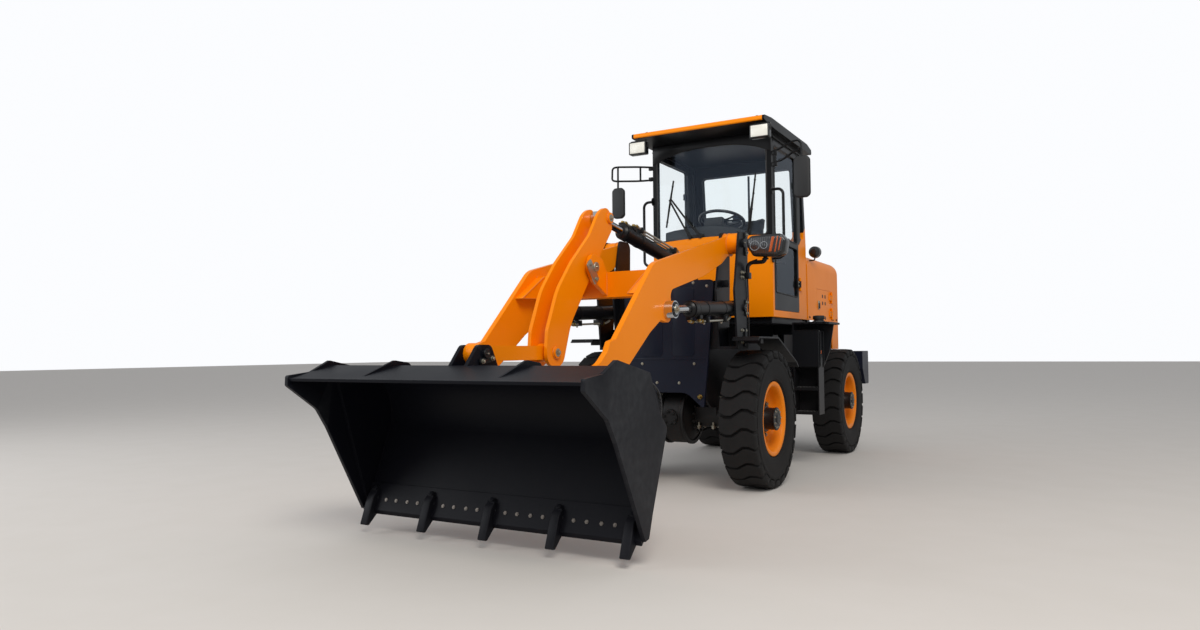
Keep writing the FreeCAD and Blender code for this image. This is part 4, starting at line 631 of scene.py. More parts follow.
def tyreMesh(w):
    # carcass between the lugs, with two thin rings on the sidewall
    side = [(0.101, 0.258), (0.108, 0.289), (0.118, 0.297), (0.127, 0.303), (0.1305, 0.308), (0.1302, 0.314),
            (0.1325, 0.320), (0.1362, 0.345), (0.1388, 0.380), (0.1396, 0.410), (0.1392, 0.436), (0.1405, 0.441),
            (0.1402, 0.447), (0.1384, 0.452), (0.1372, 0.470), (0.1340, 0.488), (0.1280, 0.502), (0.1150, w["floor"])]
    crown = [(0.06, w["floor"] + 0.001), (0.0, w["floor"] + 0.0015)]
    half = side + crown
    profile = half + [(-x, r) for x, r in reversed(half[:-1])]
    carcass = spun("tyreCarcass", profile, 120)
    # one lug: columns across the tread, (across, top radius, foot radius, half width share)
    columns = [(1.0, 0.468, 0.462, 0.60), (1.005, 0.486, 0.470, 0.80), (0.995, 0.505, 0.476, 0.88),
               (0.975, 0.519, 0.486, 0.93),
               (0.93, 0.5265, 0.495, 0.97), (0.80, 0.5285, 0.503, 1.0), (0.62, 0.5292, 0.505, 1.0),
               (0.45, 0.5296, 0.505, 1.0), (0.28, 0.530, 0.505, 1.0), (0.1, 0.530, 0.505, 1.0)]
    columns = columns + [(-u, top, foot, share) for u, top, foot, share in reversed(columns)]
    waveRows = [(-1.01, 0.1), (-0.93, 0.2), (-0.62, 1.0), (-0.28, 1.0), (0.28, -1.0), (0.62, -1.0), (0.93, -0.2),
                (1.01, -0.1)]

    def wave(u):
        for (u0, v0), (u1, v1) in zip(waveRows, waveRows[1:]):
            if u0 <= u <= u1:
                return v0 + (v1 - v0) * (u - u0) / (u1 - u0)
        return 0

    pitch = 2 * math.pi / w["lugs"]
    points, faces = [], []
    for u, top, foot, share in columns:
        x = u * w["half"]
        middle = wave(u) * w["wave"] / w["radius"]
        half = (pitch / 2 - w["groove"] / 2 / w["radius"]) * share
        for radius, angle in ((top, middle - half), (top, middle + half), (foot, middle + half + 0.007),
                              (foot, middle - half - 0.007)):
            points.append((x, radius * math.sin(angle), -radius * math.cos(angle)))
    for j in range(len(columns) - 1):
        for k in range(3):
            faces.append((4 * j + k, 4 * j + k + 1, 4 * j + k + 5, 4 * j + k + 4))
        faces.append((4 * j + 3, 4 * j, 4 * j + 4, 4 * j + 7))
    faces += [(0, 1, 2, 3), tuple(4 * len(columns) - n for n in (1, 2, 3, 4))]
    lug = smoothed(meshOf("tyreLug", points, faces), 30)
    lugs = ring(lug, w["lugs"], "tyreRubber")
    return joined("tyreWhole", [carcass, lugs])


def rimMeshes(w):
    barrel = [(0.120, 0.264), (0.120, 0.283), (0.118, 0.2862), (0.113, 0.2868), (0.110, 0.284), (0.108, 0.266),
              (0.103, 0.2575), (-0.103, 0.2575), (-0.108, 0.266), (-0.110, 0.284), (-0.113, 0.2868), (-0.118, 0.2862),
              (-0.120, 0.283), (-0.120, 0.264), (-0.112, 0.250), (-0.104, 0.245), (-0.030, 0.244), (-0.012, 0.238),
              (-0.004, 0.226), (-0.004, 0.100), (0.008, 0.100), (0.008, 0.176), (0.010, 0.215), (0.016, 0.232),
              (0.028, 0.2415), (0.050, 0.2445), (0.100, 0.2455), (0.112, 0.252)]
    rim = spun("rimBarrel", barrel, 96, sharp=50)
    hub = [(-0.120, 0.0), (-0.120, 0.149), (-0.010, 0.149), (0.0, 0.128), (0.020, 0.126), (0.026, 0.118),
           (0.030, 0.108),
           (0.052, 0.104), (0.058, 0.100), (0.060, 0.088), (0.066, 0.085), (0.126, 0.084), (0.130, 0.088),
           (0.138, 0.088), (0.142, 0.084), (0.142, 0.036), (0.147, 0.032), (0.149, 0.026), (0.149, 0.0)]
    black = spun("hubBody", hub, 64, sharp=30)
    nuts = bolts(circleOf((0.009, 0, 0), (1, 0, 0), w["nutCircle"], w["nuts"]), 0.030, 0.018, 0.046)
    caps = bolts(circleOf((0.141, 0, 0), (1, 0, 0), 0.068, 9), 0.013, 0.007, 0.018, "zincPlate")
    valve = rod("valve", (0.030, 0.0, 0.236), (0.075, 0.0, 0.222), 0.005, 10)
    return rim, black, nuts, caps, valve


def addWheels(w):
    tyre = tyreMesh(w)
    rim, hub, nuts, caps, valve = rimMeshes(w)
    for end, y in (("front", 0), ("rear", w["base"])):
        for side, sign in sides:
            label = end + side.capitalize()
            centre = at(0, y, 530) + Vector((sign * w["track"], 0, 0))
            turn = Matrix.Rotation(0 if sign > 0 else math.pi, 3, "Z")
            body = "wheel_%s_%s" % (end, side)
            nodeName = "%s_%s" % (end, side)
            keep("tyre" + label, moved(tyre, centre, turn), "tyreRubber", body, ["tyre_" + nodeName])
            keep("rim" + label, moved(rim, centre, turn), "rimPaint", body, ["rim_" + nodeName])
            keep("hub" + label, moved(hub, centre, turn), "blackPaint", body)
            keep("wheelNuts" + label, moved(joined("nuts", [nuts, caps]), centre, turn), "zincPlate", body)
            keep("valve" + label, moved(valve, centre, turn), "hoseRubber", body)


addWheels(wheelSizes)
print("stage: wheels")


# Boom, rocker, link and cylinders

pins = {"boomPivot": (-150, 1886), "bucketPin": (-2325, 890), "liftEye": (-1315, 1330), "liftBase": (-148, 1385),
        "rockerPivot": (-1577, 1611), "rockerTop": (-1318, 1968), "rockerFoot": (-2000, 1057),
        "linkPin": (-2683, 1056), "tiltBase": (120, 1748)}


def band(low, high, inner, outer):
    # the profile of a flat ring, for spun and turnedBetween
    return [(low, inner), (low, outer), (high, outer), (high, inner)]


def turnedBetween(name, rows, start, way, segments=32, sharp=35):
    # (along, radius) rows in metres, turned about a line that leaves start along way
    mesh = spun(name, rows, segments, axis="Z", sharp=sharp)
    return moved(mesh, start, Vector(way).to_track_quat("Z", "Y").to_matrix())


def bead(pin, x, radius, thick=0.005):
    # a weld ring round a pin's boss
    y, z = yz(*pins[pin])
    rows = [(thick * math.cos(a), radius / 1000 + thick * math.sin(a)) for a in [i * math.pi / 3 for i in range(6)]]
    return spun("weldRing", rows, 40, (x / 1000, y, z), "X", 80)


def seamThrough(spots, radius=0.0045):
    return bentTube("weldSeam", spots, radius, 0.004, 3)


def seam(points):
    return seamThrough([at(*p) for p in points])


def hydraulicPipe(points, radius=0.008, bend=0.035):
    return bentTube("pipe", points, radius, bend, 5)


def unionNut(start, way, radius=0.015, length=0.026):
    # a hexagon nut with a collar, on the end of a pipe
    way = Vector(way).normalized()
    rows = [(0, 0), (0, radius), (length * 0.7, radius), (length * 0.72, radius * 0.74), (length, radius * 0.74),
            (length, 0)]
    return turnedBetween("unionNut", rows, Vector(start) - way * length / 2, way, 6, 20)


keeperRows = [
    # pin, outer face, pin radius, lean of the bar in degrees, its half length and half width, body
    {"pin": "boomPivot", "face": 600, "r": 35, "lean": 88, "half": 88, "wide": 30, "body": "front_chassis"},
    {"pin": "liftBase", "face": 600, "r": 28, "lean": 90, "half": 60, "wide": 17, "body": "front_chassis"},
    {"pin": "bucketPin", "face": 519.3, "r": 30, "lean": 35, "half": 60, "wide": 17, "body": "bucket_body"},
    {"pin": "rockerPivot", "face": 106, "r": 32, "lean": -48, "half": 78, "wide": 32, "body": "boom_body"},
    {"pin": "linkPin", "face": 64.3, "r": 28, "lean": 10, "half": 60, "wide": 17, "body": "bucket_body"},
    {"pin": "tiltBase", "face": 76, "r": 28, "lean": 0, "half": 60, "wide": 17, "body": "front_chassis"},
]


def keeperParts(row, sign):
    # the pin's eased end with its grease nipple, the bar across it and the bar's two bolts
    y, z = pins[row["pin"]]
    lean = math.radians(row["lean"])
    along, away = Vector((math.cos(lean), math.sin(lean))), Vector((-math.sin(lean), math.cos(lean)))
    face, r = row["face"] / 1000, row["r"] / 1000
    middle = Vector(yz(y, z))
    half, wide = row["half"] / 1000, row["wide"] / 1000
    foot = middle - away * (r + wide - 0.011)
    corners = [foot + along * a + away * b for a, b in ((-half, -wide), (half, -wide), (half + 0.006, 0),
                                                        (half, wide), (-half, wide), (-half - 0.006, 0))]
    low, high = sorted((sign * face, sign * (face + 0.010)))
    bar = slab("keeperBar", [tuple(c) for c in corners], "X", low, high, 0.002)
    end = rod("pinEnd", (sign * (face - 0.002), middle.x, middle.y), (sign * (face + 0.016), middle.x, middle.y),
              r * 0.98, 32, 0.003)
    nipple = rod("greaseNipple", (sign * (face + 0.015), middle.x, middle.y),
                 (sign * (face + 0.024), middle.x, middle.y), 0.005, 8)
    spots = [(Vector((sign * (face + 0.010), *(foot + along * a))), (sign, 0, 0)) for a in (0.018 - half,
                                                                                            half - 0.018)]
    return joined("keeper", [bar, end]), joined("keeperBolts", [bolts(spots, 0.018, 0.010, 0.026), nipple])


def addKeepers():
    metal, fixings = {}, {}
    for row in keeperRows:
        for sign in (1, -1):
            plateMesh, boltMesh = keeperParts(row, sign)
            metal.setdefault(row["body"], []).append(plateMesh)
            fixings.setdefault(row["body"], []).append(boltMesh)
    for body in metal:
        keepAll("keeperPlates_" + body, metal[body], "zincPlate" if body == "boom_body" else "blackPaint", body)
        keepAll("keeperBolts_" + body, fixings[body], "zincPlate", body)


addKeepers()


def addBoomWelds():
    rings = [bead(pin, sign * x, r) for sign in (1, -1) for pin, x, r in (
        ("boomPivot", 457, 80), ("boomPivot", 493, 80), ("bucketPin", 453, 62), ("bucketPin", 497, 62),
        ("liftEye", 493, 58), ("rockerPivot", 78, 36))]
    seams = []
    for sign in (1, -1):
        x = sign * 457
        seams.append(seam([(x, -1420, 1420), (x, -1270, 1420), (x, -1270, 1590), (x, -1420, 1590), (x, -1420, 1420)]))
        seams.append(seam([(sign * 397, -1420, 1580), (sign * 397, -1680, 1420), (sign * 397, -1420, 1430)]))
        for side in (78, 106):
            seams.append(seam([(sign * side, -1421, 1432), (sign * side, -1421, 1580)]))
    mesh = joined("boomWelds", rings + seams)
    keep("boomWelds", mesh, "weldOrange", "boom_body")
    rockerRings = [bead("rockerPivot", sign * 48, 68) for sign in (1, -1)]
    rockerRings += [bead(pin, sign * 74, 36) for sign in (1, -1) for pin in ("rockerTop", "rockerFoot")]
    keepAll("rockerWelds", rockerRings, "weldOrange", "rocker_body")
    caps = [(at(sign * 86, *pins[pin]), (sign, 0, 0)) for sign in (1, -1) for pin in ("rockerTop", "rockerFoot")]
    keep("rockerPinBolts", bolts(caps, 0.024, 0.012, 0.05), "zincPlate", "rocker_body")
    eye = [(at(sign * 564, *pins["liftEye"]), (sign, 0, 0)) for sign in (1, -1)]
    for side, place in (("left", eye[0]), ("right", eye[1])):
        keep("liftEyeBolt_" + side, bolts([place], 0.026, 0.014, 0.054), "zincPlate", "lift_rod_%s_body" % side)
        sign = place[1][0]
        collar = spun("eyeCollar", band(sign * 0.556 - 0.003, sign * 0.556 + 0.003, 0.036, 0.050), 40,
                      (0, *yz(*pins["liftEye"])))
        keep("liftEyeCollar_" + side, collar, "blackPaint", "lift_rod_%s_body" % side)


addBoomWelds()

cylinderRows = [
    # pins at the base and the eye, X, radii of barrel and rod, barrel length, collar radius, side of the pipes, X of
    # each pipe, length of its port
    {"name": "lift_left", "base": "liftBase", "eye": "liftEye", "x": 526, "r": 54, "rod": 28, "long": 875,
     "collar": 59,
     "rise": -1, "pipes": [-16, 14], "port": 60},
    {"name": "lift_right", "base": "liftBase", "eye": "liftEye", "x": -526, "r": 54, "rod": 28, "long": 875,
     "collar": 59,
     "rise": -1, "pipes": [-14, 16], "port": 60},
    {"name": "tilt", "base": "tiltBase", "eye": "rockerTop", "x": 0, "r": 52, "rod": 28, "long": 1130, "collar": 58,
     "rise": 1, "pipes": [-20, 20], "port": 55},
]


def alongCylinder(row):
    # places beside a cylinder: how far from its base pin, how far above its axis, how far out along X
    start, end = pins[row["base"]], pins[row["eye"]]
    run = Vector((0, end[0] - start[0], end[1] - start[1])).normalized()
    up = Vector((0, -run.z, run.y))
    up = up if up.z > 0 else -up

    def spot(far, rise=0, out=0):
        return at(*(Vector((row["x"] + out, *start)) + run * far + up * rise * row["rise"]))

    return spot, run, up * row["rise"]


def dressCylinder(row):
    spot, run, up = alongCylinder(row)
    r, long = row["r"], row["long"]
    body = "tilt_barrel_body" if row["name"] == "tilt" else "lift_barrel_%s_body" % row["name"].split("_")[1]
    mm = 0.001
    upright = Matrix((Vector((1, 0, 0)), run, up)).transposed()
    gland = turnedBetween("gland", [(0, (row["rod"] + 1) * mm), (0, (row["rod"] + 24) * mm),
                                    (8 * mm, (row["rod"] + 24) * mm),
                                    (12 * mm, (row["rod"] + 18) * mm), (20 * mm, (row["rod"] + 8) * mm),
                                    (22 * mm, (row["rod"] + 1) * mm)], spot(long), run, 48)
    seats = [turnedBetween("barrelWeld", [(0, r * mm), (3 * mm, (r + 5) * mm), (9 * mm, (r + 5) * mm),
                                          (12 * mm, r * mm)],
                           spot(far), run, 48) for far in (70, long - 76)]
    black, pipes, nuts, bands = [gland] + seats, [], [], []
    for k, out in enumerate(row["pipes"]):
        head = long - row["port"] / 2 if k == 0 else long - row["port"] - 70
        port = block("portBlock", (-0.019, -0.024, -0.012), (0.019, 0.024, 0.018), 0.003)
        black.append(moved(port, spot(head, row["collar"] - 2 if k == 0 else r, out), upright))
        lift = r + 34
        pipes.append(hydraulicPipe([spot(head, r + 8, out), spot(head, lift, out), spot(150 + 40 * k, lift, out),
                                    spot(96 + 40 * k, r + 12, out)]))
        nuts += [unionNut(spot(head, r + 24, out), up), unionNut(spot(head - 46, lift, out), run),
                 unionNut(spot(210 + 40 * k, lift, out), run)]
    for far in (280, long - 260):
        bands.append(turnedBetween("barrelBand", band(0, 26 * mm, r * mm, (r + 3) * mm),
                                   spot(far), run, 48))
        saddle = block("pipeSaddle", (-0.042, -0.013, 0), (0.042, 0.013, 0.044), 0.004)
        bands.append(moved(saddle, spot(far + 13, r + 2), upright))
    keepAll("cylinderFittings_" + row["name"], black + bands, "blackPaint", body)
    keepAll("cylinderPipes_" + row["name"], pipes, "pipeSteel", body)
    keepAll("cylinderUnions_" + row["name"], nuts, "brass", body)
    heads = [(spot(far + 13, r + 46), up) for far in (280, long - 260)]
    keep("cylinderClampBolts_" + row["name"], bolts(heads, 0.014, 0.008, 0.020), "zincPlate", body)


for cylinder in cylinderRows:
    dressCylinder(cylinder)
print("stage: boom and cylinders")


# Bucket; its parts are counted from the hinge pin, as (back, up)

bucketSizes = {"half": 933, "pin": (-2325, 890), "floorEnd": (-235, -751), "heel": (63, -14), "roofEnd": (-500, 87),
               "pitch": 435, "toothHalf": 27}


def bucketSpot(x, back, up):
    return at(x, bucketSizes["pin"][0] + back, bucketSizes["pin"][1] + up)


def addBucketDetail(b):
    floorRun = (Vector(b["heel"]) - Vector(b["floorEnd"])).normalized()
    lip = Vector((-floorRun.y, floorRun.x))          # off the floor, into the bucket
    parts, welds, plough = [], [], []
    for i in range(-2, 3):
        x = i * b["pitch"]
        # the tooth's cap: a wedge with eased sides over the forged shank
        rows = [(-183, -742), (-170, -668), (-226, -640), (-262, -676), (-322, -836), (-298, -842)]
        outline = [yz(b["pin"][0] + y, b["pin"][1] + z) for y, z in rows]
        parts.append(slab("toothCap", outline, "X", (x - b["toothHalf"]) / 1000, (x + b["toothHalf"]) / 1000, 0.006,
                          3))
        parts.append(slab("toothRib", [yz(b["pin"][0] + y, b["pin"][1] + z) for y, z in (
            (-166, -690), (-158, -648), (-214, -622), (-236, -640))], "X", (x - 12) / 1000, (x + 12) / 1000, 0.004))
        pinAt = Vector(yz(b["pin"][0] - 222, b["pin"][1] - 690))
        parts.append(rod("toothPin", ((x - 31) / 1000, *pinAt), ((x + 31) / 1000, *pinAt), 0.009, 12))
        if i < 2:
            for share in (0.22, 0.4, 0.6, 0.78):
                spot = Vector(b["floorEnd"]) + floorRun * 52 + lip * 10
                plough.append((bucketSpot(x + b["pitch"] * share, *spot), (0, lip.x, lip.y)))
    half = b["half"]
    for sign in (1, -1):
        x = sign * half
        welds.append(bentTube("sideSeam", [bucketSpot(x, *b["floorEnd"]), bucketSpot(x, -40, -268),
                                           bucketSpot(x, 2, -80),
                                           bucketSpot(x, -90, 8), bucketSpot(x, *b["roofEnd"])], 0.006, 0.09, 4))
        welds.append(seamThrough([bucketSpot(sign * 440, -400, 92), bucketSpot(sign * 440, -775, 33)]))
        for ear in (430.7, 519.3):
            welds.append(seamThrough([bucketSpot(sign * ear, 66, -40), bucketSpot(sign * ear, 40, -120)], 0.005))
    welds.append(bentTube("lipSeam", [bucketSpot(-half, -208, -688), bucketSpot(half, -208, -688)], 0.0055, 0.01, 3))
    welds.append(bentTube("guardSeam", [bucketSpot(-half, -506, 90), bucketSpot(half, -506, 90)], 0.006, 0.01, 3))
    keepAll("bucketTeeth", parts, "bucketPaint", "bucket_body")
    keepAll("bucketWelds", welds, "weldBlack", "bucket_body")
    keep("bucketPloughBolts", bolts(plough, 0.020, 0.006, 0.032, "wornSteel"), "wornSteel", "bucket_body")


addBucketDetail(bucketSizes)
print("stage: bucket")


# Front chassis: cover, axle, towers, lamps and drive shaft

coverSizes = {"face": -256, "field": (42, 232, 1012, 1560, 22),
              "bolts": [(226, 957), (96, 807), (226, 1590), (340, 1560)]}


def addFrontCover(c):
    face = yOf(c["face"])
    outline = [(x / 1000, z / 1000) for x, z in cutCorners(*c["field"])]
    field = slab("coverField", outline, "Y", face - 0.004, face + 0.004, 0.0038, 4)
    heads = []
    for x, z in c["bolts"]:
        heads += [(at(sign * x, c["face"], z), (0, -1, 0)) for sign in (1, -1)]
    fold = slab("coverFold", [(-0.318, 0.987), (0.318, 0.987), (0.319, 0.999), (-0.319, 0.999)], "Y", face - 0.004,
                face + 0.002, 0.003, 2)
    keepAll("coverFields", [field, mirrored(field), fold], "navyPaint", "front_chassis")
    keep("coverBolts", bolts(heads, 0.014, 0.007, 0.022), "zincPlate", "front_chassis")


addFrontCover(coverSizes)


def addAxleDetail():
    # casing bolts, flanges, brakes and their lines, alike on both axles
    seatHalf = 300
    for name, y, body, seatLow in (("front", 0, "front_chassis", 612), ("rear", wheelSizes["base"], "chassis", 640)):
        centre = at(0, y, 530)
        heads = []
        for sign in (1, -1):
            heads += circleOf(centre + Vector((sign * 0.150, 0, 0)), (sign, 0, 0), 0.120, 12)
            heads += circleOf(centre + Vector((0, sign * 0.240, 0)), (0, sign, 0), 0.048, 6)
        heads += [(at(sign * x, y + dy, seatLow - 4), (0, 0, -1)) for sign in (1, -1) for x in (seatHalf - 130,
                                                                                                seatHalf)
                  for dy in (-62, 62)]
        ribs = []
        for sign in (1, -1):
            flange = spun("casingFlange", band(sign * 0.086, sign * 0.104, 0.196, 0.224), 64, tuple(centre))
            ribs.append(flange)
            brake = band(sign * 0.470, sign * 0.488, 0.090, 0.142)
            ribs.append(spun("brakeBack", brake, 48, tuple(centre)))
            heads += circleOf(centre + Vector((sign * 0.470, 0, 0)), (-sign, 0, 0), 0.118, 8)
            ribs.append(rod("brakePot", centre + Vector((sign * 0.40, -0.09, 0.075)),
                            centre + Vector((sign * 0.40, 0.09, 0.075)), 0.034, 24, 0.006))
        keepAll("axleFlanges_" + name, ribs, "castIron", body)
        keep("axleBolts_" + name, bolts(heads, 0.020, 0.012, 0.028, "castIron"), "castIron", body)
        lines = []
        for sign in (1, -1):
            pot = centre + Vector((sign * 0.40, 0, 0.110))
            lines.append(hydraulicPipe([pot, pot + Vector((0, 0, 0.04)), centre + Vector((sign * 0.18, 0.07, 0.17)),
                                        centre + Vector((0.0, 0.10, 0.225))], 0.005, 0.05))
        keepAll("brakeLines_" + name, lines, "pipeSteel", body)
    # the long bolts under the front seats end in nuts
    studs, nuts = [], []
    for sign in (1, -1):
        for x in (176, 300):
            for dy in (-60, 60):
                studs.append(rod("seatStud", at(sign * x, dy, 612), at(sign * x, dy, 446), 0.010, 10))
                nuts.append((at(sign * x, dy, 462), (0, 0, -1)))
    keepAll("seatStuds", studs, "zincPlate", "front_chassis")
    keep("seatNuts", bolts(nuts, 0.030, 0.018, 0.044), "zincPlate", "front_chassis")
    fitting = [rod("coverFitting", at(275, -248, 702), at(275, -292, 702), 0.012, 12),
               rod("coverFittingNut", at(275, -256, 702), at(275, -268, 702), 0.020, 6)]
    keepAll("coverFitting", fitting, "brass", "front_chassis")


addAxleDetail()


def addTowerDetail():
    heads, plates, cables = [], [], []
    for sign in (1, -1):
        face = sign * 600
        heads += [(at(face, -150 + y, 1090 + z), (sign, 0, 0)) for y in (-50, 20) for z in (30, 120)]
        heads += [(at(face, -190 + y, 1620 + z), (sign, 0, 0)) for y in (0, 60) for z in (0, 36)]
        # the lower gusset between the tower and the shelf, and the stop pad for the boom
        plates.append(slab("towerGusset", [yz(-170, 1088), yz(-100, 1088), yz(-118, 1230), yz(-150, 1230)], "X",
                           *sorted((sign * 0.601, sign * 0.613)), 0.003))
        plates.append(block("boomStop", (sign * 0.475 - 0.03, -0.2655, 1.545), (sign * 0.475 + 0.03, -0.2395, 1.60),
                            0.006))
        cables.append(bentTube("lampCable", [at(sign * 606, -60, 1120), at(sign * 608, -66, 1500),
                                             at(sign * 612, -92, 1650),
                                             at(sign * 634, -104, 1742), at(sign * 700, -112, 1756)], 0.005, 0.05, 4))
    keepAll("towerGussets", plates, "chassisPaint", "front_chassis")
    keep("towerBolts", bolts(heads, 0.020, 0.011, 0.030), "zincPlate", "front_chassis")
    keepAll("lampCables", cables, "hoseRubber", "front_chassis")


addTowerDetail()

lampSizes = {
    "front": -190, "out": 584,
    "wing": [(58, 1900), (95, 1932), (326, 1935), (368, 1884), (352, 1789), (296, 1763), (108, 1775), (64, 1849)],
    "lens": [(78, 1898), (104, 1918), (318, 1921), (350, 1880), (337, 1802), (290, 1779), (118, 1790), (84, 1846)],
    "ambers": [[(262, 1912), (284, 1912), (258, 1800), (236, 1798)], [(304, 1914), (314, 1914), (290, 1796),
                                                                      (280, 1796)],
               [(330, 1906), (338, 1898), (318, 1808), (308, 1802)]],
}


def addHeadlamps(h):
    def outline(rows, sign):
        return [(sign * (h["out"] + x) / 1000, z / 1000) for x, z in rows]

    front = yOf(h["front"])
    rims, lenses, ambers, bowls, stands = [], [], [], [], []
    for sign in (1, -1):
        path = [(621, 1640), (621, 1735), (764, 1735), (764, 1792)]
        stands.append(bentTube("lampTube", [at(sign * x, -110, z) for x, z in path], 0.0155, 0.045, 6))
        stands.append(block("lampFoot", (sign * 0.621 - 0.021, yOf(-140), 1.610),
                            (sign * 0.621 + 0.021, yOf(-80), 1.660), 0.005, 3))
        stands.append(turnedBetween("lampNut", [(0, 0), (0, 0.026), (0.012, 0.026), (0.014, 0.018), (0.014, 0)],
                                    at(sign * 764, -110, 1752), (0, 0, 1), 6, 20))
        rims.append(slab("lampShell", outline(h["wing"], sign), "Y", front - 0.003, front + 0.108, 0.014, 4))
        lenses.append(slab("lampLens", outline(h["lens"], sign), "Y", front - 0.010, front + 0.004, 0.006, 3))
        for row in h["ambers"]:
            ambers.append(slab("lampAmber", outline(row, sign), "Y", front - 0.014, front - 0.004, 0.003, 3))
        for x, r in ((128, 0.036), (200, 0.026)):
            centre = (sign * (h["out"] + x) / 1000, front - 0.0095, 1.853)
            bowls.append(spun("lampRing", band(-0.002, 0.002, r - 0.0015, r + 0.0015),
                              40, centre, "Y"))
    keepAll("headlampStands", stands, "blackPaint", "front_chassis")
    keepAll("headlampShells", rims, "lampPlastic", "front_chassis", ["headlamps"])
    keepAll("headlampLenses", lenses, "smokedLens", "front_chassis")
    keepAll("headlampAmbers", ambers, "amberLens", "front_chassis")
    keepAll("headlampRings", bowls, "chromeRod", "front_chassis")


addHeadlamps(lampSizes)


def addDriveLine():
    # a jointed shaft from the gearbox end to the front axle, with its flanges
    parts = [rod("driveShaft", at(0, 240, 545), at(0, 980, 700), 0.036, 32, 0.004)]
    for y, z in ((262, 549), (960, 696)):
        parts.append(rod("shaftYoke", at(-55, y, z), at(55, y, z), 0.024, 20, 0.004))
        parts.append(rod("shaftFlange", at(0, y - 12, z - 2), at(0, y + 12, z + 2), 0.062, 32, 0.004))
    keepAll("driveShaft", parts, "castIron", "front_chassis")


addDriveLine()
print("stage: front chassis")


# Cab: glass seals, header, wipers, doors, lamps, mirrors and rails

def loopTube(corners, radius, bend=0.03):
    # a closed rubber seal: the path starts and ends in the middle of its first side
    corners = [Vector(c) for c in corners]
    middle = (corners[0] + corners[-1]) / 2
    return bentTube("seal", [middle] + corners + [middle], radius, bend, 3)


cabSizes = {"half": 568, "back": 1700, "sill": 2060, "top": 2955, "doorFront": 722, "doorBack": 1450,
            "doorLow": 1405, "doorHigh": 2890, "rail": 2040}


def addCabSeals(c):
    seals = []
    x = c["half"] - 45
    seals.append(loopTube([at(-x, 683, c["sill"]), at(-x, 683, 2895), at(x, 683, 2895), at(x, 683, c["sill"])],
                          0.009))
    lean = 90 / (c["top"] - c["sill"])
    rear = [at(sx * 453, c["back"] - lean * (z - c["sill"]) + 1, z)
            for sx, z in ((-1, 2120), (-1, 2805), (1, 2805), (1, 2120))]
    seals.append(loopTube(rear, 0.008))
    keepAll("cabSeals", seals, "hoseRubber")
    for side, sign in sides:
        out = sign * c["half"]
        upper = [(c["doorFront"] + 35, c["rail"] + 25), (c["doorFront"] + 35, c["doorHigh"] - 45),
                 (c["doorBack"] - 35, c["doorHigh"] - 45), (c["doorBack"] - 35, c["rail"] + 5)]
        lower = [(c["doorFront"] + 38, c["doorLow"] + 155), (c["doorFront"] + 38, c["rail"] - 25),
                 (c["doorBack"] - 38, c["rail"] - 45), (c["doorBack"] - 38, c["doorLow"] + 140)]
        loops = [loopTube([at(out, y, z) for y, z in rows], 0.006) for rows in (upper, lower)]
        keepAll("doorSeals_" + side, loops, "hoseRubber", "door_%s_body" % side)
        # pull handle with its lock, and the inner grab bar
        base = sidePlate("handlePlate", (742, 842), (1935, 1990), (out / 1000, out / 1000 + sign * 0.007), 0.003)
        grip = bentTube("doorGrip", [at(out + sign * 2, 752, 1962), at(out + sign * 40, 752, 1962),
                                     at(out + sign * 40, 834, 1962), at(out + sign * 2, 834, 1962)], 0.009, 0.03)
        lock = rod("doorLock", at(out + sign * 2, 792, 1948), at(out + sign * 14, 792, 1948), 0.009, 16)
        keepAll("doorHandle_" + side, [base, grip], "mouldedPlastic", "door_%s_body" % side)
        keep("doorLock_" + side, lock, "chromeRod", "door_%s_body" % side)
        inner = bentTube("doorInnerBar", [at(out - sign * 34, 760, 1850), at(out - sign * 75, 760, 1850),
                                          at(out - sign * 75, 1150, 1850), at(out - sign * 34, 1150, 1850)], 0.010,
                         0.04)
        keep("doorInnerBar_" + side, inner, "blackPaint", "door_%s_body" % side)
        # rain strip over the door
        strip = slab("rainStrip", [yz(700, 2904), yz(1560, 2904), yz(1566, 2912), yz(694, 2912)], "X",
                     *sorted((out / 1000 - sign * 0.002, out / 1000 + sign * 0.016)), 0.003)
        keep("rainStrip_" + side, strip, "blackPaint")
        fixings = [(at(out + sign * 9, c["doorBack"] - 44, z + dz), (sign, 0, 0)) for z in (1670,
                                                                                            2600) for dz in (-18, 18)]
        keep("doorHingeBolts_" + side, bolts(fixings, 0.013, 0.006, 0.020), "zincPlate", "door_%s_body" % side)


addCabSeals(cabSizes)


def addHeader():
    # black arch over the windscreen, with the sun strip's lower edge bowed upwards
    arc = [(x / 1000, (2888 - 96 * (abs(x) / 540) ** 2.6) / 1000) for x in range(-540, 541, 60)]
    outline = [(-0.566, 2.954), (-0.566, 2.786)] + arc + [(0.566, 2.786), (0.566, 2.954)]
    mesh = slab("windscreenHeader", outline, "Y", yOf(671), yOf(680), 0.003)
    # cowl under the glass, rising a little at its middle
    low = [(x / 1000, (2048 + 26 * math.cos(x / 560 * math.pi / 2)) / 1000) for x in range(540, -541, -60)]
    cowl = slab("windscreenCowl", [(-0.562, 1.93), (0.562, 1.93)] + [(0.562, 2.04)] + low + [(-0.562, 2.04)], "Y",
                yOf(665), yOf(681), 0.006, 3)
    keep("windscreenHeader", mesh, "blackPaint")
    keep("windscreenCowl", cowl, "orangePaint")
    heads = [(at(x, 665, 1956), (0, -1, 0)) for x in (-500, -250, 0, 250, 500)]
    keep("cowlBolts", bolts(heads, 0.014, 0.006, 0.022), "blackPaint")


addHeader()


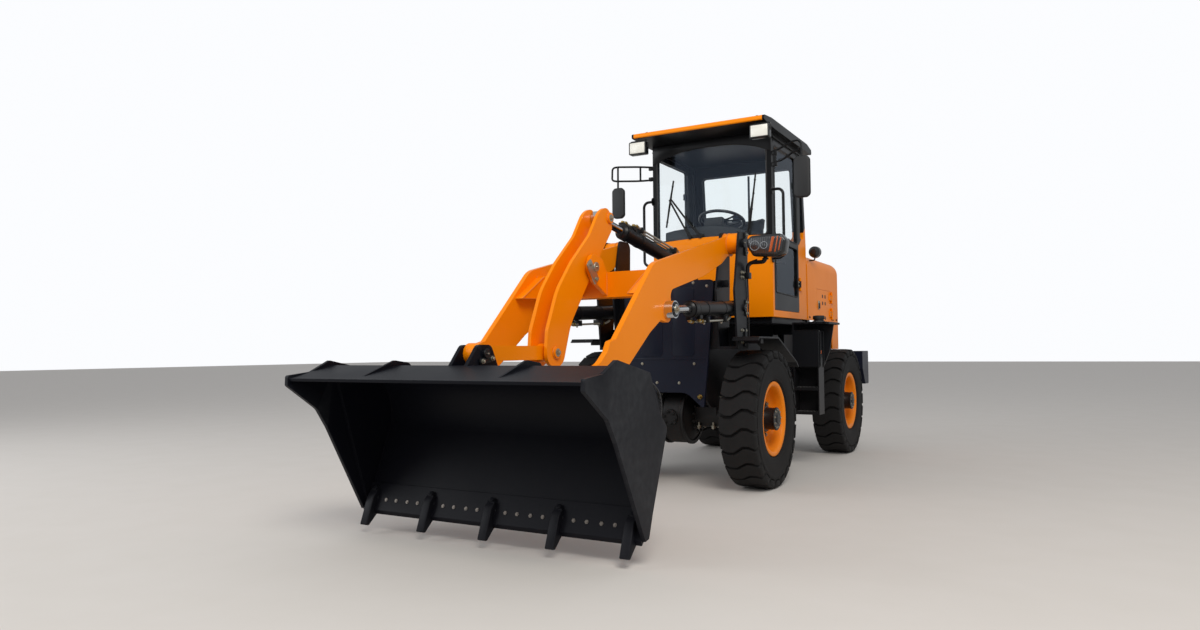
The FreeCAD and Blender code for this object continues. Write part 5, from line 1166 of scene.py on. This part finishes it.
def wiper(pivots, bladeLow, bladeHigh, grab):
    # two parallel arms from their spindles to the blade's carrier; rows are (X, Z) on the glass
    y = 661
    arms = [bentTube("wiperArm", [at(px, y + 3, pz), at(px + (grab[0] - px) * 0.3, y - 6, pz + (grab[1] - pz) * 0.3),
                                  at(grab[0] + 10 * i, y - 2, grab[1] + 14 * i)], 0.0085, 0.03, 3)
            for i, (px, pz) in enumerate(pivots)]
    spindles = [rod("wiperSpindle", at(px, y + 20, pz), at(px, y - 10, pz), 0.016, 20, 0.003) for px, pz in pivots]
    outer = [px for px, pz in pivots]
    spindles.append(block("wiperFoot", ((min(outer) - 24) / 1000, at(0, y + 6, 0).y, 2.050),
                          ((max(outer) + 24) / 1000, at(0, y + 20, 0).y, 2.104), 0.004))
    low, high = at(bladeLow[0], y + 2, bladeLow[1]), at(bladeHigh[0], y + 2, bladeHigh[1])
    carrier = bentTube("wiperCarrier", [low.lerp(high, 0.12), low.lerp(high, 0.5) + Vector((0, -0.010, 0)),
                                        low.lerp(high, 0.88)],
                       0.0075, 0.1, 3)
    run = (high - low).normalized()
    rubber = slab("wiperRubber", [(-0.007, -0.004), (0.007, -0.004), (0.002, 0.014), (-0.002, 0.014)], "Z", 0,
                  (high - low).length, 0)
    side = Vector((0, 1, 0)).cross(run)
    rubber = moved(rubber, low, Matrix((side, Vector((0, 1, 0)), run)).transposed())
    clips = [rod("wiperClip", low.lerp(high, t) + Vector((0, -0.006, 0)), low.lerp(high, t) + Vector((0, 0.006, 0)),
                 0.010, 8)
             for t in (0.12, 0.36, 0.64, 0.88)]
    return joined("wiper", arms + spindles + [carrier, rubber] + clips)


keep("wiperMain", wiper([(-194, 2080), (-92, 2082)], (-427, 2188), (-350, 2616), (-393, 2440)), "wiperBlack")
keep("wiperSide", wiper([(352, 2078)], (372, 2112), (433, 2600), (404, 2380)), "wiperBlack")

mirrorRows = [
    # sign, shell (inner, outer, low, high), tubes through (X, Y, Z)
    {"sign": 1, "shell": (802, 940, 2324, 2674),
     "tubes": [[(560, 697, 2772), (640, 690, 2792), (800, 600, 2826), (868, 556, 2800), (871, 553, 2640)],
               [(560, 697, 2672), (660, 690, 2690), (810, 606, 2742), (869, 557, 2738)],
               [(600, 696, 2678), (604, 696, 2780)]]},
    {"sign": -1, "shell": (804, 930, 2296, 2584),
     "tubes": [[(560, 697, 2770), (700, 660, 2784), (880, 566, 2786), (930, 556, 2780), (934, 556, 2664),
                (900, 558, 2652), (700, 660, 2650), (560, 697, 2652)],
               [(871, 556, 2786), (871, 554, 2560)], [(690, 664, 2652), (690, 664, 2782)]]},
]


def addMirrors():
    shells, tubes, panes, rims = [], [], [], []
    for row in mirrorRows:
        inner, outer, low, high = row["shell"]
        sign = row["sign"]
        corners = cutCorners(inner, outer, low, high, 26)
        outline = [(sign * x / 1000, z / 1000) for x, z in corners]
        middle, rim = ((inner + outer) / 2, (low + high) / 2), 9
        y = yOf(535)
        shells.append(slab("mirrorShell", outline, "Y", y, y + 0.044, 0.014, 4))
        inset = [(sign * (x + (rim if x < middle[0] else -rim)) / 1000, (z + (rim if z < middle[1] else -rim)) / 1000)
                 for x, z in corners]
        panes.append(slab("mirrorPane", inset, "Y", y + 0.042, y + 0.0465, 0.001))
        for path in row["tubes"]:
            tubes.append(bentTube("mirrorTube", [at(sign * px, py, pz) for px, py, pz in path], 0.009, 0.05))
        for z in (2662, 2762):
            rims.append(block("mirrorFoot", (sign * 0.594 - 0.022, yOf(684), z / 1000 - 0.018),
                              (sign * 0.594 + 0.022, yOf(712), z / 1000 + 0.018), 0.004))
    keepAll("mirrorShells", shells, "mouldedPlastic", "chassis", ["mirrors"])
    keepAll("mirrorTubes", tubes + rims, "blackPaint")
    keepAll("mirrorPanes", panes, "mirrorGlass")


addMirrors()


def addHandrails():
    rails, feet = [], []
    for sign in (1, -1):
        path = [(566, 2445), (667, 2445), (667, 1848), (566, 1848)]
        rails.append(bentTube("handrail", [at(sign * x, 687, z) for x, z in path], 0.0125, 0.055, 6))
        feet += circleOf(at(sign * 569, 687, 2445), (sign, 0, 0), 0.028, 3) + circleOf(at(sign * 569, 687, 1848),
                                                                                       (sign, 0, 0), 0.028, 3)
        for z in (2445, 1848):
            rails.append(spun("railFoot", [(sign * 0.567, 0.0), (sign * 0.567, 0.038), (sign * 0.573, 0.038),
                                           (sign * 0.575, 0.034), (sign * 0.575, 0.0)], 32, (0, *yz(687, z))))
    keepAll("handrailTubes", rails, "blackPaint", "chassis", ["handrails"])
    keep("handrailBolts", bolts(feet, 0.010, 0.005, 0.015), "zincPlate")


addHandrails()


def addWorkLamps():
    cases, lenses, ribs = [], [], []
    for sign in (1, -1):
        low, high = sorted((sign * 0.487, sign * 0.653))
        y = yOf(365)
        case = block("lampCase", (low, y + 0.004, 2.829), (high, y + 0.072, 2.945), 0.010, 3)
        cases.append(case)
        e = 0.010
        lenses.append(block("lampFace", (low + e, y - 0.003, 2.829 + e), (high - e, y + 0.008, 2.945 - e), 0.004, 2))
        cases.append(bentTube("lampRim", [Vector((low + 0.004, y + 0.003, 2.834)), Vector((low + 0.004, y + 0.003,
                                                                                           2.940)),
                                          Vector((high - 0.004, y + 0.003, 2.940)),
                                          Vector((high - 0.004, y + 0.003, 2.834)),
                                          Vector((low + 0.004, y + 0.003, 2.834))], 0.005, 0.008, 3))
        for i in range(7):
            ribs.append(block("lampFin", (low + 0.012 + i * 0.0225, y + 0.070, 2.84),
                              (low + 0.018 + i * 0.0225, y + 0.080, 2.935), 0.001, 1))
        ribs.append(bentTube("lampYoke", [Vector((low - 0.004, y + 0.04, 2.89)), Vector((low - 0.008, y + 0.04,
                                                                                         2.957)),
                                          Vector((high + 0.008, y + 0.04, 2.957)),
                                          Vector((high + 0.004, y + 0.04, 2.89))],
                             0.005, 0.02, 3))
    keepAll("workLampCases", cases + ribs, "lampPlastic", "chassis", ["work_lamps"])
    keepAll("workLampFaces", lenses, "lampLens")


addWorkLamps()
print("stage: cab outside")


# Driver's place

def addControls():
    parts, metal = [], []
    # full-width crowned dash with a cluster pod behind the glass
    crown = [(-0.465, 1.99), (0.465, 1.99), (0.465, 2.068), (0.36, 2.105), (0.18, 2.160), (0.01, 2.188),
             (-0.19, 2.182), (-0.38, 2.165), (-0.465, 2.150)]
    parts.append(slab("dashTop", crown, "Y", yOf(716), yOf(826), 0.014, 3))
    parts.append(block("clusterPod", (-0.095, yOf(752), 2.17), (0.085, yOf(806), 2.262), 0.016, 3))
    parts.append(block("windowBar", (0.014, yOf(1632), 2.13), (0.034, yOf(1646), 2.79), 0.003))
    parts.append(block("sideConsole", (-0.47, yOf(1060), 1.386), (-0.30, yOf(1500), 1.86), 0.02, 3))
    for i, y in enumerate((1120, 1190)):
        base = at(-385, y, 1856)
        parts.append(bentTube("lever", [base, base + Vector((0, -0.02, 0.10)), base + Vector((0.01, -0.05, 0.20))],
                              0.008, 0.05))
        parts.append(turnedBetween("leverKnob", [(0, 0), (0.001, 0.012), (0.015, 0.020), (0.032, 0.021),
                                                 (0.045, 0.014), (0.049, 0)],
                                   base + Vector((0.009, -0.047, 0.19)), (0.05, -0.12, 0.5), 24))
        parts.append(turnedBetween("leverBoot", [(0, 0), (0, 0.038), (0.012, 0.034), (0.014, 0.028), (0.026, 0.024),
                                                 (0.028, 0.018), (0.045, 0.012), (0.045, 0)], base, (0, -0.2, 1), 24))
    for x in (-150, 120, 190):
        pedal = block("pedal", (x / 1000 - 0.035, yOf(822), 1.50), (x / 1000 + 0.035, yOf(836), 1.60), 0.005)
        parts.append(pedal)
        metal.append(rod("pedalArm", at(x, 806, 1700), at(x, 828, 1560), 0.008, 10))
    for i in range(4):
        flange = turnedBetween("gaugeRim", [(0, 0.024), (0, 0.032), (0.006, 0.031), (0.006, 0.025)],
                               at(-114 + 76 * i, 826, 2110), (0, 1, 0), 32)
        metal.append(flange)
        parts.append(turnedBetween("gaugeFace", band(0.001, 0.003, 0, 0.025),
                                   at(-114 + 76 * i, 826, 2110), (0, 1, 0), 32))
    # horn cap, spokes and the stalk under the wheel
    lean = Vector((0, 30, 85)).normalized()
    hub = at(0, 960, 2252)
    parts.append(turnedBetween("hornCap", [(-0.012, 0), (-0.012, 0.052), (0.006, 0.050), (0.016, 0.036), (0.020, 0)],
                               hub, lean, 40))
    side = Vector((1, 0, 0))
    for angle in (90, 210, 330):
        a = math.radians(angle)
        way = side * math.cos(a) + lean.cross(side) * math.sin(a)
        parts.append(bentTube("wheelSpoke", [hub + way * 0.04, hub + way * 0.11 - lean * 0.008, hub + way * 0.203],
                              0.009, 0.05))
    parts.append(bentTube("stalk", [at(20, 930, 2190), at(120, 925, 2205), at(215, 930, 2230)], 0.006, 0.03))
    keepAll("controls", parts, "mouldedPlastic")
    keepAll("controlMetal", metal, "chromeRod")


addControls()


def cushionBlank(low, high, crown, pinch):
    # a closed pad with pulled-in sides; crown raises its middle
    made = bmesh.new()
    bmesh.ops.create_cube(made, size=1)
    bmesh.ops.subdivide_edges(made, edges=made.edges, cuts=7, use_grid_fill=True)
    size = [h - l for l, h in zip(low, high)]
    for v in made.verts:
        u = [c * 2 for c in v.co]
        v.co = Vector([l + s * (c / 2 + 0.5) for l, s, c in zip(low, size, u)])
        middle = Vector([(l + h) / 2 for l, h in zip(low, high)])
        for axis in range(3):
            others = [u[k] for k in range(3) if k != axis]
            swell = crown[axis] * (1 - others[0] ** 2) * (1 - others[1] ** 2)
            v.co[axis] += (v.co[axis] - middle[axis]) * (swell - pinch)
    mesh = bpy.data.meshes.new("cushionBlank")
    made.to_mesh(mesh)
    made.free()
    return mesh


def puffed(mesh, pressure, voxel=0.006, frames=20, cap=0.022):
    # cloth blown up from inside, then held within a cap of its first shape
    obj = bpy.data.objects.new("workPad", mesh)
    bpy.context.scene.collection.objects.link(obj)
    remesh = obj.modifiers.new("even", "REMESH")
    remesh.mode = "VOXEL"
    remesh.voxel_size = voxel
    mesh = baked(obj)
    obj = bpy.data.objects.new("workPad", mesh)
    bpy.context.scene.collection.objects.link(obj)
    start = [v.co.copy() for v in mesh.vertices]
    cloth = obj.modifiers.new("cloth", "CLOTH")
    cloth.settings.use_pressure = True
    cloth.settings.uniform_pressure_force = pressure
    cloth.settings.effector_weights.gravity = 0
    cloth.settings.quality = 4
    for frame_ in range(1, frames + 1):
        bpy.context.scene.frame_set(frame_)
    mesh = baked(obj)
    bpy.context.scene.frame_set(1)
    for v, was in zip(mesh.vertices, start):
        move = v.co - was
        if move.length > cap:
            v.co = was + move.normalized() * cap
    return mesh


def addSeat():
    # two pads, a welt round the lower one, on a boxed base with a bellows and slides
    pads = {
        "seatCushion": ((-0.235, yOf(1058), 1.615), (0.235, yOf(1475), 1.715), (0.0, 0.0, 0.25)),
        "seatBack": ((-0.218, yOf(1478), 1.74), (0.218, yOf(1556), 2.352), (0.0, 0.2, 0.0)),
    }
    for name, (low, high, crown) in pads.items():
        mesh = puffed(cushionBlank(low, high, crown, 0.03), 4.0)
        if name == "seatBack":
            mesh.transform(Matrix.Translation((0, yOf(1500), 1.74)) @ Matrix.Rotation(math.radians(-4), 4, "X")
                           @ Matrix.Translation((0, -yOf(1500), -1.74)))
        for polygon in mesh.polygons:
            polygon.use_smooth = True
        pad = keep(name, mesh, "seatCloth", "chassis", ["seat"] if name == "seatCushion" else ())
    y0, y1 = yOf(1062), yOf(1470)
    welt = loopTube([(-0.228, y0, 1.700), (-0.228, y1, 1.700), (0.228, y1, 1.700), (0.228, y0, 1.700)], 0.0045, 0.05)
    keep("seatWelts", welt, "mouldedPlastic")
    rows = [(1.46 + i * 0.016, 0.162 if i % 2 else 0.150) for i in range(9)]
    bellows = [(1.455, 0.0)] + rows + [(rows[-1][0], 0.0)]
    base = [moved(spun("seatBellows", bellows, 4, axis="Z", sharp=60), (0, yOf(1275), 0),
                  Matrix.Rotation(math.pi / 4, 3, "Z"))]
    base.append(block("seatFoot", (-0.17, yOf(1130), 1.385), (0.17, yOf(1430), 1.458), 0.01, 3))
    base.append(block("seatPan", (-0.225, yOf(1075), 1.590), (0.225, yOf(1470), 1.618), 0.012, 3))
    for sign in (1, -1):
        base.append(block("seatSlide", (sign * 0.155 - 0.018, yOf(1090), 1.572),
                          (sign * 0.155 + 0.018, yOf(1460), 1.592), 0.003))
        base.append(bentTube("armRest", [Vector((sign * 0.262, yOf(1510), 1.90)), Vector((sign * 0.262, yOf(1500),
                                                                                          1.925)),
                                         Vector((sign * 0.262, yOf(1200), 1.925))], 0.022, 0.03, 5))
        base.append(rod("armPivot", (sign * 0.20, yOf(1512), 1.90), (sign * 0.275, yOf(1512), 1.90), 0.014, 16))
    keepAll("seatBaseParts", base, "mouldedPlastic")


addSeat()
print("stage: driver's place")


# Rear: hood, grille, exhaust, counterweight, tank and ladder

def addSideLamps():
    # a small round lamp on a strap at each side, where the hood meets the cab
    cases, faces = [], []
    for sign in (1, -1):
        spot = at(sign * 616, 1842, 2012)
        cases.append(turnedBetween("sideLampCase", [(-0.044, 0), (-0.042, 0.028), (-0.018, 0.054), (0.026, 0.058),
                                                    (0.034, 0.058),
                                                    (0.034, 0.050), (0.016, 0.046), (0.016, 0)], spot, (0, 1, 0), 40))
        cases.append(bentTube("sideLampStrap", [spot + Vector((0, 0, -0.050)), spot + Vector((0, 0, -0.080)),
                                                at(sign * 560, 1842, 1930)], 0.007, 0.02, 3))
        faces.append(turnedBetween("sideLampFace", [(0.015, 0), (0.015, 0.048), (0.025, 0.047), (0.031, 0.026),
                                                    (0.032, 0)],
                                   spot, (0, 1, 0), 40))
    keepAll("sideLampCases", cases, "lampPlastic")
    keepAll("sideLampFaces", faces, "lampLens")


addSideLamps()


def addHoodDetail():
    for side, sign in sides:
        body = "hood_hatch_%s_body" % side
        wall = sign * 0.574
        # paddle latch in a bright surround, near the hatch's front edge
        surround = sidePlate("latchSurround", (2090, 2142), (1462, 1548), (wall, wall + sign * 0.006), 0.003)
        paddle = sidePlate("latchPaddle", (2098, 2134), (1470, 1526), (wall + sign * 0.003, wall + sign * 0.012),
                           0.004, 3)
        keyhole = rod("latchLock", (wall + sign * 0.005, *yz(2116, 1537)), (wall + sign * 0.013, *yz(2116, 1537)),
                      0.007, 16)
        keepAll("latchSurround_" + side, [surround, keyhole], "zincPlate", body)
        keep("latchPaddle_" + side, paddle, "mouldedPlastic", body)
        fixings = [(at(sign * 578, 2574, z + dz), (sign, 0, 0)) for z in (1430, 1600) for dz in (-14, 14)]
        keep("hatchHingeBolts_" + side, bolts(fixings, 0.012, 0.006, 0.018), "zincPlate", body)
        # painted shade: black blocks filling the vent holes, for the dark inside of the hood seen through them
        plugs = [sidePlate("ventShadeFill", (y - 18, y + 18), (z - 17, z + 17), (sign * 0.568, sign * 0.5738), 0.0015)
                 for y in (2270, 2370) for z in (1600, 1530, 1380)]
        keepAll("ventShadeFills_" + side, plugs, "hoseRubber", body)
        # painted shade: a dark sheet behind the vents, for the shade inside the hood
        liner = sidePlate("hatchShadeSheet", (2080, 2560), (1375, 1635), (sign * 0.553, sign * 0.557), 0.001)
        keep("hatchShadeSheet_" + side, liner, "hoseRubber", body)
        # side panel bolts along the hood's lower edge
        low = [(at(sign * 572, y, 1372), (sign, 0, 0)) for y in (1780, 1990, 2680, 2820)]
        keep("hoodEdgeBolts_" + side, bolts(low, 0.014, 0.006, 0.024), "blackPaint")


addHoodDetail()


def addRearGrille():
    # wire mesh behind the slats
    wires = []
    for i in range(-8, 9):
        wires.append(rod("meshWire", at(i * 48, 2856, 1392), at(i * 48, 2856, 1880), 0.0025, 6))
    for i in range(10):
        wires.append(rod("meshWire", at(-400, 2853, 1400 + i * 52), at(400, 2853, 1400 + i * 52), 0.0025, 6))
    keepAll("grilleMesh", wires, "wiperBlack")


addRearGrille()


def addStacks():
    # exhaust: flanged foot, slotted shield and a hinged rain cap; air intake: its foot
    y, z = 1980, 1990
    foot = at(-230, y, z)
    pipe = [(0.0, 0.075), (0.008, 0.075), (0.010, 0.042), (0.060, 0.040), (0.062, 0.048), (0.084, 0.048),
            (0.086, 0.040), (0.150, 0.040)]
    metal = [turnedBetween("stackFoot", [(0, 0.03)] + pipe + [(0.150, 0.03)], foot, (0, 0, 1), 48)]
    for a in range(12):
        turn = Matrix.Rotation(a * math.pi / 6, 3, "Z")
        strip = block("shieldStrip", (-0.010, 0.056, 0.17), (0.010, 0.0585, 0.40), 0.001, 1)
        metal.append(moved(strip, foot, turn))
    for h in (0.170, 0.285, 0.396):
        metal.append(turnedBetween("shieldBand", band(h, h + 0.012, 0.052, 0.061),
                                   foot, (0, 0, 1), 48))
    top = foot + Vector((0, 0, 0.434))
    cap = turnedBetween("rainCap", [(0, 0), (0, 0.048), (0.003, 0.050), (0.008, 0.046), (0.016, 0.020), (0.018, 0)],
                        top + Vector((0, 0.006, 0.010)), (0, 0.42, 1), 40)
    metal.append(cap)
    metal.append(rod("capHinge", top + Vector((-0.022, 0.052, -0.006)), top + Vector((0.022, 0.052, -0.006)), 0.005,
                     10))
    metal.append(bentTube("capWeight", [top + Vector((0, 0.052, -0.006)), top + Vector((0, 0.085, -0.012)),
                                        top + Vector((0, 0.092, -0.038))], 0.005, 0.02, 3))
    keepAll("exhaustDetail", metal, "blackPaint")
    base = at(240, y, z)
    bowl = [(0.0, 0.02), (0.0, 0.082), (0.008, 0.082), (0.010, 0.060), (0.050, 0.058), (0.052, 0.066), (0.066, 0.066),
            (0.068, 0.020)]
    keep("intakeDetail", turnedBetween("intakeFoot", bowl, base, (0, 0, 1), 48), "mouldedPlastic")


addStacks()


def addCounterweight():
    heads = [(at(sign * x, 3218, z), (0, 1, 0)) for sign in (1, -1) for x, z in ((330, 780), (330, 935))]
    keep("counterweightBolts", bolts(heads, 0.046, 0.028, 0.070, "blackPaint"), "blackPaint")
    lenses, cups = [], []
    for sign in (1, -1):
        # tail lamp: a round red lens beside an amber one, in rubber cups
        for x, look in ((640, "redLens"), (740, "amberLens")):
            spot = at(sign * x, 3214, 930)
            cups.append(turnedBetween("tailCup", [(0, 0), (0, 0.048), (0.014, 0.047), (0.018, 0.043), (0.018, 0.038),
                                                  (0.006, 0.036), (0.006, 0)], spot, (0, 1, 0), 48))
            lens = turnedBetween("tailLens", [(0.005, 0), (0.005, 0.0375), (0.016, 0.036), (0.021, 0.028),
                                              (0.023, 0.014), (0.0235, 0)],
                                 spot, (0, 1, 0), 48)
            lenses.append((lens, look))
    keepAll("tailCups", cups, "hoseRubber")
    for look in ("redLens", "amberLens"):
        keepAll("tailLenses_" + look, [m for m, kind in lenses if kind == look], look)
    # tow pin with its collar and bent handle
    pin = [rod("towPin", at(0, 3163, 716), at(0, 3163, 880), 0.0165, 24, 0.003),
           turnedBetween("towCollar", [(0, 0.0165), (0, 0.028), (0.008, 0.028), (0.010, 0.0165)], at(0, 3163, 836),
                         (0, 0, 1), 32),
           bentTube("towHandle", [at(0, 3163, 872), at(0, 3163, 905), at(0, 3225, 905)], 0.008, 0.02, 5)]
    keepAll("towPin", pin, "zincPlate")
    lift = [bentTube("liftEyeTop", [at(sign * 420, 3020, 1030), at(sign * 420, 3020, 1092),
                                    at(sign * 420, 3120, 1092),
                                    at(sign * 420, 3120, 1030)], 0.014, 0.04, 6) for sign in (1, -1)]
    keepAll("liftLoops", lift, "blackPaint")


addCounterweight()


def addTankAndLadder():
    caps, grips, steel, reflectors, lids = [], [], [], [], []
    for sign in (1, -1):
        # platform: rows of raised grip studs, and the ladder's treads the same
        studs = []
        for i in range(9):
            for j in range(5):
                studs.append((at(sign * (640 + j * 62 + (31 if i % 2 else 0)), 1085 + i * 46, 1303), (0, 0, 1)))
        studs = [(p, n) for p, n in studs if abs(p.x) < 0.905]
        steel.append(bolts(studs, 0.010, 0.003, 0.022, "stepGrip"))
        for z in (506, 721):
            for j in range(7):
                x = sign * (628 + j * 30)
                grips.append(block("treadBar", ((x - 3) / 1000, yOf(1128), z / 1000 - 0.001),
                                   ((x + 3) / 1000, yOf(1250), z / 1000 + 0.004), 0.001, 1))
        spot = at(sign * 820, 1180, 1303)
        caps.append(turnedBetween("fillerNeck", [(0, 0.02), (0, 0.056), (0.010, 0.054), (0.012, 0.044),
                                                 (0.030, 0.044), (0.032, 0.02)],
                                  spot, (0, 0, 1), 40))
        caps.append(turnedBetween("fillerCap", [(0.026, 0.0), (0.026, 0.052), (0.030, 0.054), (0.052, 0.053),
                                                (0.058, 0.047), (0.060, 0.02), (0.060, 0)], spot, (0, 0, 1), 12, 30))
        reflectors.append(block("sideReflector", (sign * 0.834 - 0.003, yOf(1140), 1.02),
                                (sign * 0.834 + 0.003, yOf(1200), 1.05), 0.002))
        # tank straps
        for y in (1135, 1255):
            lids.append(bentTube("tankStrap", [at(sign * 600, y, 900), at(sign * 838, y, 900),
                                               at(sign * 838, y, 1230), at(sign * 600, y, 1230)], 0.006, 0.02, 3))
    keepAll("platformStuds", steel, "stepGrip")
    keepAll("treadBars", grips, "stepGrip")
    keepAll("fillerCaps", caps, "mouldedPlastic")
    keepAll("sideReflectors", reflectors, "amberLens")
    keepAll("tankStraps", lids, "blackPaint")


addTankAndLadder()


def addRoofDetail():
    # three shallow stiffening ribs along the roof, and the lifting eyes' plugs
    ribs = [slab("roofRib", [yz(470, 3033), yz(1690, 3033), yz(1670, 3041), yz(490, 3041)], "X", x - 0.045, x + 0.045,
                 0.006, 3)
            for x in (-0.33, 0.0, 0.33)]
    keepAll("roofRibs", ribs, "orangePaint")
    plugs = [(at(sx * 520, y, 3034), (0, 0, 1)) for sx in (1, -1) for y in (470, 1690)]
    keep("roofPlugs", bolts(plugs, 0.026, 0.008, 0.048, "mouldedPlastic"), "mouldedPlastic")
    liner = slab("headliner", [(-0.50, 0.78), (0.50, 0.78), (0.50, 1.52), (-0.50, 1.52)], "Z", 2.934, 2.953, 0.012, 3)
    keep("headliner", liner, "seatCloth")
    # linings: rear wall, the front wall under the windscreen and the corners behind the doors
    inner = [block("rearLining", (-0.50, yOf(1630), 1.392), (0.50, yOf(1648), 2.06), 0.010, 3)]
    inner.append(block("frontLining", (-0.50, yOf(722), 1.392), (0.50, yOf(730), 2.035), 0.003, 2))
    for sign in (1, -1):
        inner.append(block("cornerLining", (sign * 0.520 - 0.008, yOf(1462), 1.392),
                           (sign * 0.520 + 0.008, yOf(1628), 2.06), 0.006, 3))
    keepAll("cabLining", inner, "mouldedPlastic")
    mat = slab("floorMat", [(-0.50, 0.69), (0.50, 0.69), (0.50, 1.58), (-0.50, 1.58)], "Z", 1.386, 1.394, 0.003)
    keep("floorMat", mat, "hoseRubber")
    lamp = slab("domeLamp", [(-0.05, 1.10), (0.05, 1.10), (0.05, 1.20), (-0.05, 1.20)], "Z", 2.922, 2.936, 0.005, 3)
    keep("domeLamp", lamp, "lampLens")


addRoofDetail()
print("stage: rear and sides")


# Floor and light

def addFloor():
    mesh = bpy.data.meshes.new("studioFloor")
    mesh.from_pydata([(-60, -60, 0), (60, -60, 0), (60, 60, 0), (-60, 60, 0)], [], [(0, 1, 2, 3)])
    floor = bpy.data.objects.new("studioFloor", mesh)
    bpy.context.scene.collection.objects.link(floor)
    mesh.materials.append(finish("floorPaint", {"colour": "d4cec8", "second": "cfc9c2", "rough": 0.8}))


def addLight(name, place, aim, size, power, colour=(1, 1, 1)):
    data = bpy.data.lights.new(name, "AREA")
    data.shape = "RECTANGLE"
    data.size, data.size_y = size
    data.energy = power
    data.color = colour
    lamp = bpy.data.objects.new(name, data)
    lamp.location = place
    lamp.rotation_euler = (Vector(aim) - Vector(place)).to_track_quat("-Z", "Y").to_euler()
    bpy.context.scene.collection.objects.link(lamp)


def addWorld(strength):
    # a soft sky for the object, and plain pale white behind it and through its glass
    world = bpy.data.worlds.new("studio")
    bpy.context.scene.world = world
    world.use_nodes = True
    tree = world.node_tree
    sky = tree.nodes["Background"]
    sky.inputs["Color"].default_value = (0.93, 0.96, 1, 1)
    sky.inputs["Strength"].default_value = strength
    seen = node(tree, "ShaderNodeBackground")
    seen.inputs["Color"].default_value = (0.97, 0.98, 1, 1)
    seen.inputs["Strength"].default_value = 1.0
    ray = node(tree, "ShaderNodeLightPath")
    join = node(tree, "ShaderNodeMixShader")
    link = tree.links.new
    link(ray.outputs["Is Camera Ray"], join.inputs[0])
    link(sky.outputs[0], join.inputs[1])
    link(seen.outputs[0], join.inputs[2])
    link(join.outputs[0], tree.nodes["World Output"].inputs["Surface"])


addFloor()
addWorld(0.55)
addLight("key", (6, -8, 9), (0, 0, 1), (5, 5), 820, (1, 0.97, 0.92))
addLight("fill", (-8, -7, 5), (0, 0, 1), (7, 5), 320, (0.94, 0.97, 1))
bpy.context.scene.view_settings.view_transform = "Standard"
print("stage: floor and light")
